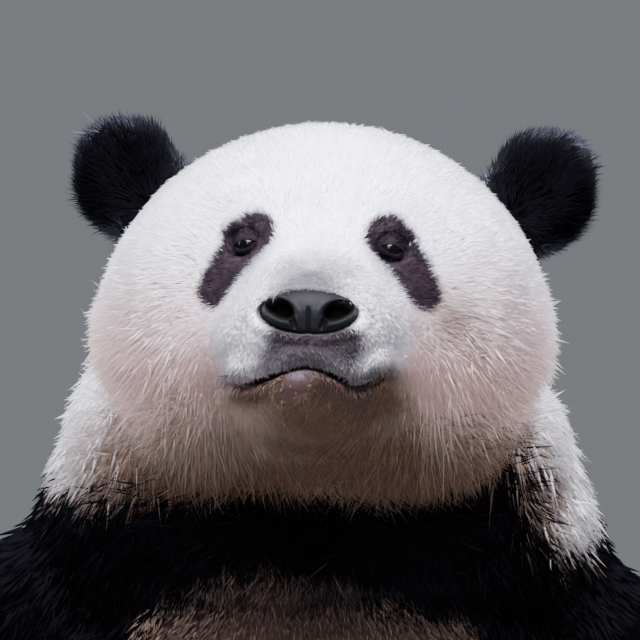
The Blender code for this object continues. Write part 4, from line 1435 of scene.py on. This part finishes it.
class PANDA_OT_eyes(bpy.types.Operator):
    """Build the two eyeballs, each with a cornea that bulges over a dark iris"""
    bl_idname = "panda.eyes"
    bl_label = "Eyes"

    def execute(self, context):
        for letter, side in SIDES:
            sideways, upward, out = eye_axes(letter, side)
            bm = bmesh.new()
            bmesh.ops.create_uvsphere(bm, u_segments=64, v_segments=40, radius=EYE_RADIUS)
            turn = Vector(out).to_track_quat("Z", "Y").to_matrix()
            for vertex in bm.verts:
                tilt = math.atan2(math.hypot(vertex.co.x, vertex.co.y), vertex.co.z)
                vertex.co *= 1.0 + CORNEA_BULGE * float(ramp(tilt, 0.62, 0.25))
                vertex.co = turn @ vertex.co + Vector(EYES[letter])
            mesh = mesh_from(bm, "eye")
            offset = mesh_arrays(mesh)[0] - EYES[letter]
            tilt = np.arccos(np.clip(unit(offset) @ out, -1.0, 1.0))
            set_attribute(mesh, "tilt", np.degrees(tilt) / 90.0)
            from_wet = np.hypot(offset @ sideways - WET_SPOT[0], offset @ upward - WET_SPOT[1])
            set_attribute(mesh, "wet", ramp(from_wet, 0.0036, 0.0022) * (offset @ out > 0.0))
            material = eye_material(settings().colour, f"eye_{letter}")
            finish_piece(add_object(f"eyeball_{letter}", mesh), material, [f"eye_{letter}"])
        return {"FINISHED"}


NOSE_HALF = (0.0382, 0.0215, 0.0175)       # half width, depth and height of the nose pad
NOSE_SHIFT = (0.0012, 0.0005, 0.0)         # its middle, from the middle of the node it stands for
NOSE_ROUNDING = 2.6                        # power of the rounded block: 2 would be an ellipsoid
WING = 0.036                               # from the middle of the nose out to its wings
NOSTRIL_TILT = (0.92, 0.39)                # cosine and sine of the nostrils' slant


def nose_form(points):
    """The nose pad from a unit ball's points: places in the head's axes, and how deep in a nostril."""
    size = np.sum(np.abs(points) ** NOSE_ROUNDING, axis=1) ** (-1.0 / NOSE_ROUNDING)
    a, b, c = (points * size[:, None]).T
    across, back, up = a * NOSE_HALF[0], b * NOSE_HALF[1], c * NOSE_HALF[2]
    wing = np.abs(across / WING)
    up = up + 0.0015 * (1.0 - (across / WING) ** 2) * (c > 0.0)
    up = up - 0.0022 * wing ** 2 * (c > 0.0)
    up = up + 0.0040 * wing ** 1.5 * (c < 0.0) * np.abs(c)
    back = back + 0.0050 * wing ** 2.2 + 0.004 * np.maximum(c, 0.0)
    front = ramp(b, -0.02, -0.35)
    hollow = np.zeros(len(points))
    rim = np.zeros(len(points))
    cosine, sine = NOSTRIL_TILT
    for letter, side in SIDES:
        u, v = across * side - 0.0208, up - 0.0014
        along, over = u * cosine + v * sine, v * cosine - u * sine
        oval = np.hypot(along / 0.0128, (over + 8.0 * along ** 2 - 0.0006) / 0.0076)
        tail_u = across * side - (0.0118 + 0.35 * (up + 0.006))
        tail = np.hypot(tail_u / 0.0036, (up + 0.0050) / 0.0080)
        hollow = np.maximum(hollow, np.maximum(ramp(oval, 1.05, 0.60), 0.55 * ramp(tail, 1.1, 0.3)))
        rim = np.maximum(rim, bump(oval, 1.22, 0.14))
    back = back + front * (0.0165 * hollow - 0.0009 * rim)
    groove = bump(across, 0.0, 0.0013) * ramp(up, 0.006, 0.0) * front
    local = np.stack((across, back + 0.0026 * groove, up), axis=1)
    return local + NOSE_LOCAL + NOSE_SHIFT, hollow * front


class PANDA_OT_nose(bpy.types.Operator):
    """Build the nose pad with its two comma nostrils and the groove between them"""
    bl_idname = "panda.nose"
    bl_label = "Nose"

    def execute(self, context):
        bm = bmesh.new()
        bmesh.ops.create_icosphere(bm, subdivisions=7, radius=1.0)
        local, hollow = nose_form(np.array([vertex.co for vertex in bm.verts]))
        for vertex, place in zip(bm.verts, from_head(local)):
            vertex.co = place
        mesh = mesh_from(bm, "nose_pad")
        set_attribute(mesh, "hollow", hollow)
        finish_piece(add_object("nose_pad", mesh), nose_material(settings().colour), ["nose"])
        return {"FINISHED"}


CLAW_STEPS, CLAW_SIDES = 18, 20
CLAW_FLATNESS = 0.74         # a claw's thickness as a share of its width
CLAW_TAPER = 0.93            # share of the root's radius that is lost by the tip


def claw_tree():
    """A node tree that sweeps a tapering, drooping claw from each point along its heading."""
    tree = bpy.data.node_groups.new("claw", "GeometryNodeTree")
    faces = tree.interface
    faces.new_socket("Geometry", in_out="INPUT", socket_type="NodeSocketGeometry")
    for name, default in (("Length", 0.04), ("Radius", 0.006), ("Droop", 0.012)):
        faces.new_socket(name, in_out="INPUT", socket_type="NodeSocketFloat").default_value = default
    faces.new_socket("Material", in_out="INPUT", socket_type="NodeSocketMaterial")
    faces.new_socket("Geometry", in_out="OUTPUT", socket_type="NodeSocketGeometry")
    nodes, links = tree.nodes, tree.links

    def add(kind, settings=None, **inputs):
        node = nodes.new(kind)
        for name, value in (settings or {}).items():
            setattr(node, name, value)
        for name, value in inputs.items():
            numbered = name[0] == "i" and name[1:].isdigit()
            socket = node.inputs[int(name[1:]) if numbered else name]
            if isinstance(value, bpy.types.NodeSocket):
                links.new(value, socket)
            else:
                socket.default_value = value
        return node
    given = add("NodeGroupInput")
    line = add("GeometryNodeCurvePrimitiveLine", Start=(0.0, 0.0, 0.0), End=(0.0, 0.0, 1.0))
    fine = add("GeometryNodeResampleCurve", Curve=line.outputs[0], Count=CLAW_STEPS)
    share = add("GeometryNodeSplineParameter").outputs["Factor"]
    bend = add("ShaderNodeMath", {"operation": "POWER"}, i0=share, i1=2.0)
    drop = add("ShaderNodeMath", {"operation": "MULTIPLY"}, i0=bend.outputs[0], i1=given.outputs["Droop"])
    reach = add("ShaderNodeMath", {"operation": "MULTIPLY"}, i0=share, i1=given.outputs["Length"])
    place = add("ShaderNodeCombineXYZ", X=drop.outputs[0], Z=reach.outputs[0])
    bent = add("GeometryNodeSetPosition", Geometry=fine.outputs[0], Position=place.outputs[0])
    fade = add("ShaderNodeMath", {"operation": "POWER"}, i0=share, i1=2.2)
    thin = add("ShaderNodeMath", {"operation": "MULTIPLY_ADD"}, i0=fade.outputs[0], i1=-CLAW_TAPER, i2=1.0)
    thick = add("ShaderNodeMath", {"operation": "MULTIPLY"}, i0=thin.outputs[0], i1=given.outputs["Radius"])
    ring = add("GeometryNodeCurvePrimitiveCircle", Resolution=CLAW_SIDES, Radius=1.0)
    squeeze = add("GeometryNodeTransform", Geometry=ring.outputs[0], Scale=(1.0, CLAW_FLATNESS, 1.0))
    radius = add("GeometryNodeSetCurveRadius", Curve=bent.outputs[0], Radius=thick.outputs[0])
    sweep = add("GeometryNodeCurveToMesh", Curve=radius.outputs[0])
    links.new(squeeze.outputs[0], sweep.inputs["Profile Curve"])
    sweep.inputs["Fill Caps"].default_value = True
    if "Scale" in sweep.inputs:
        links.new(thick.outputs[0], sweep.inputs["Scale"])
    heading = add("GeometryNodeInputNamedAttribute", {"data_type": "FLOAT_VECTOR"}, Name="heading")
    droops = add("GeometryNodeInputNamedAttribute", {"data_type": "FLOAT_VECTOR"}, Name="droops")
    first = add("FunctionNodeAxesToRotation", {"primary_axis": "Z", "secondary_axis": "X"})
    links.new(heading.outputs["Attribute"], first.inputs[0])
    links.new(droops.outputs["Attribute"], first.inputs[1])
    copies = add("GeometryNodeInstanceOnPoints", Points=given.outputs["Geometry"], Instance=sweep.outputs[0])
    links.new(first.outputs[0], copies.inputs["Rotation"])
    real = add("GeometryNodeRealizeInstances", Geometry=copies.outputs[0])
    smooth = add("GeometryNodeSetShadeSmooth", Geometry=real.outputs[0])
    painted = add("GeometryNodeSetMaterial", Geometry=smooth.outputs[0], Material=given.outputs["Material"])
    add("NodeGroupOutput", Geometry=painted.outputs[0])
    return tree


def through_nodes(name, mesh, tree, values):
    """The plain mesh that a node tree makes from a mesh, with its inputs set by identifier."""
    carrier = add_object(name, mesh)
    modifier = carrier.modifiers.new("nodes", "NODES")
    modifier.node_group = tree
    identifiers = {item.name: item.identifier for item in tree.interface.items_tree if item.in_out == "INPUT"}
    for key, value in values.items():
        modifier[identifiers[key]] = value
    result = evaluated(carrier)
    bpy.data.objects.remove(carrier)
    return result


# Each kind of claw: the way it points, the way it droops, its length, its root's radius and its droop.
CLAW_KINDS = (
    ("foreclaw", (0.0, -0.92, -0.38), (0.0, -0.38, -0.92), 0.044, 0.0070, 0.015),
    ("hindclaw", (0.0, -0.72, 0.70), (0.0, -0.70, -0.72), 0.036, 0.0064, 0.011),
)
CLAW_SUNK = 0.014            # how far a claw's root lies back inside the paw
CLAW_LOWERED = 0.004


def claw_roots(nodes, forward, down):
    """Where the claws of one paw start, inside the fur behind the claws that they stand for."""
    points = []
    for node in nodes:
        low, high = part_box(node)
        height = high.z if node.startswith("foreclaw") else low.z
        root = Vector((0.5 * (low.x + high.x), high.y, height))
        points.append(root - Vector(forward) * CLAW_SUNK + Vector(down) * CLAW_LOWERED)
    mesh = bpy.data.meshes.new("roots")
    mesh.from_pydata(points, [], [])
    set_attribute(mesh, "heading", np.tile(forward, (len(nodes), 1)))
    set_attribute(mesh, "droops", np.tile(down, (len(nodes), 1)))
    return mesh


class PANDA_OT_claws(bpy.types.Operator):
    """Build the curved claws of each paw"""
    bl_idname = "panda.claws"
    bl_label = "Claws"

    def execute(self, context):
        material = horn_material(settings().colour)
        tree = claw_tree()
        for kind, forward, down, length, radius, droop in CLAW_KINDS:
            values = {"Length": length, "Radius": radius, "Droop": droop, "Material": material}
            for letter, side in SIDES:
                nodes = [f"{kind}_{letter}_{number}" for number in range(1, 6)]
                claws = through_nodes("roots", claw_roots(nodes, forward, down), tree, values)
                finish_piece(add_object(f"{kind}s_{letter}", claws), material, nodes)
        return {"FINISHED"}


class PANDA_OT_pads(bpy.types.Operator):
    """Build the bare leathery pads of the soles"""
    bl_idname = "panda.pads"
    bl_label = "Paw pads"

    def execute(self, context):
        bm = bmesh.new()
        for centre, axes, sizes in pad_spots():
            ball = bmesh.ops.create_icosphere(bm, subdivisions=4, radius=1.0)["verts"]
            points = np.array([vertex.co for vertex in ball]) * sizes
            is_long = sizes[0] == LONG_PAD[0]
            points[:, 2] += 6.0 * (0.012 ** 2 - points[:, 0] ** 2) * is_long
            points[:, 1] *= 1.0 - 0.25 * np.abs(points[:, 0] / sizes[0]) ** 2
            for vertex, place in zip(ball, points @ np.array(axes) + centre):
                vertex.co = place
        finish_piece(add_object("pads", mesh_from(bm, "pads")), pad_material())
        return {"FINISHED"}


FLOOR_RADIUS = 7.0
SKY_COLOUR = (0.88, 0.93, 1.0, 1.0)
RIGHT_SHARE = 1.15           # the light behind the right shoulder, as a share of the left one
EYE_LEVEL = 0.82             # height of the camera, which looks straight ahead
CAMERA_SHIFT = -0.0009       # sideways, to the panda's right
WIDEST = 0.118               # from the eyes back to the widest part of the head


class PANDA_OT_stage(bpy.types.Operator):
    """Lay the floor and set the lights and the camera"""
    bl_idname = "panda.stage"
    bl_label = "Stage"

    def execute(self, context):
        chosen, colours = settings().stage, settings().colour
        scene = context.scene
        bm = bmesh.new()
        bmesh.ops.create_circle(bm, cap_ends=True, segments=96, radius=FLOOR_RADIUS)
        floor = add_object("floor", mesh_from(bm, "floor", smooth=False))
        floor.data.materials.append(floor_material(colours))
        world = bpy.data.worlds.new("studio")
        world.use_nodes = True
        sky = world.node_tree.nodes["Background"].inputs
        sky["Color"].default_value = SKY_COLOUR
        sky["Strength"].default_value = chosen.sky
        scene.world = world
        head = Vector(BROW)
        # Each light: its place from the head, which it points at, its width, power and colour.
        for name, offset, size, energy, tint in (
            ("key", (0.06, -0.95, 1.70), 2.2, chosen.key_power, (0.940, 0.950, 1.0)),
            ("side_l", (2.3, 0.9, 0.9), 1.8, chosen.side_power, (0.86, 0.91, 1.0)),
            ("side_r", (-2.3, 0.5, 0.9), 1.8, RIGHT_SHARE * chosen.side_power, (0.86, 0.91, 1.0)),
            ("fill", (-0.35, -2.3, 0.95), 0.95, chosen.fill_power, (0.86, 0.92, 1.0)),
        ):
            light = bpy.data.lights.new(name, "AREA")
            light.shape = "DISK"
            light.size = size
            light.energy = energy
            light.color = tint
            lamp = bpy.data.objects.new(name, light)
            lamp.location = head + Vector(offset)
            lamp.rotation_euler = (head - lamp.location).to_track_quat("-Z", "Y").to_euler()
            scene.collection.objects.link(lamp)
        camera = bpy.data.cameras.new("camera")
        camera.lens = chosen.lens
        camera.clip_end = 60.0
        viewer = bpy.data.objects.new("camera", camera)
        viewer.location = (CAMERA_SHIFT, float(BROW[1]) + WIDEST - chosen.distance, EYE_LEVEL)
        viewer.rotation_euler = (math.radians(90.0), 0.0, 0.0)
        scene.collection.objects.link(viewer)
        scene.camera = viewer
        return {"FINISHED"}


STEPS = (PANDA_OT_stage, PANDA_OT_skin, PANDA_OT_coat, PANDA_OT_eyes, PANDA_OT_nose, PANDA_OT_claws,
         PANDA_OT_pads)


class PANDA_PT_panel(bpy.types.Panel):
    """The steps that finish the panda"""
    bl_idname = "PANDA_PT_panel"
    bl_label = "Giant panda"
    bl_space_type = "VIEW_3D"
    bl_region_type = "UI"
    bl_category = "Panda"

    def draw(self, context):
        for step in STEPS:
            self.layout.operator(step.bl_idname)


CLASSES = (PandaSkinSettings, PandaCoatSettings, PandaColourSettings, PandaStageSettings, PandaSettings,
           *STEPS, PANDA_PT_panel)


def register():
    for item in CLASSES:
        bpy.utils.register_class(item)
    bpy.types.Scene.panda = PointerProperty(type=PandaSettings)


def unregister():
    del bpy.types.Scene.panda
    for item in reversed(CLASSES):
        bpy.utils.unregister_class(item)


def main():
    register()
    for step in STEPS:
        group, name = step.bl_idname.split(".")
        getattr(getattr(bpy.ops, group), name)()


if __name__ == "__main__":
    main()
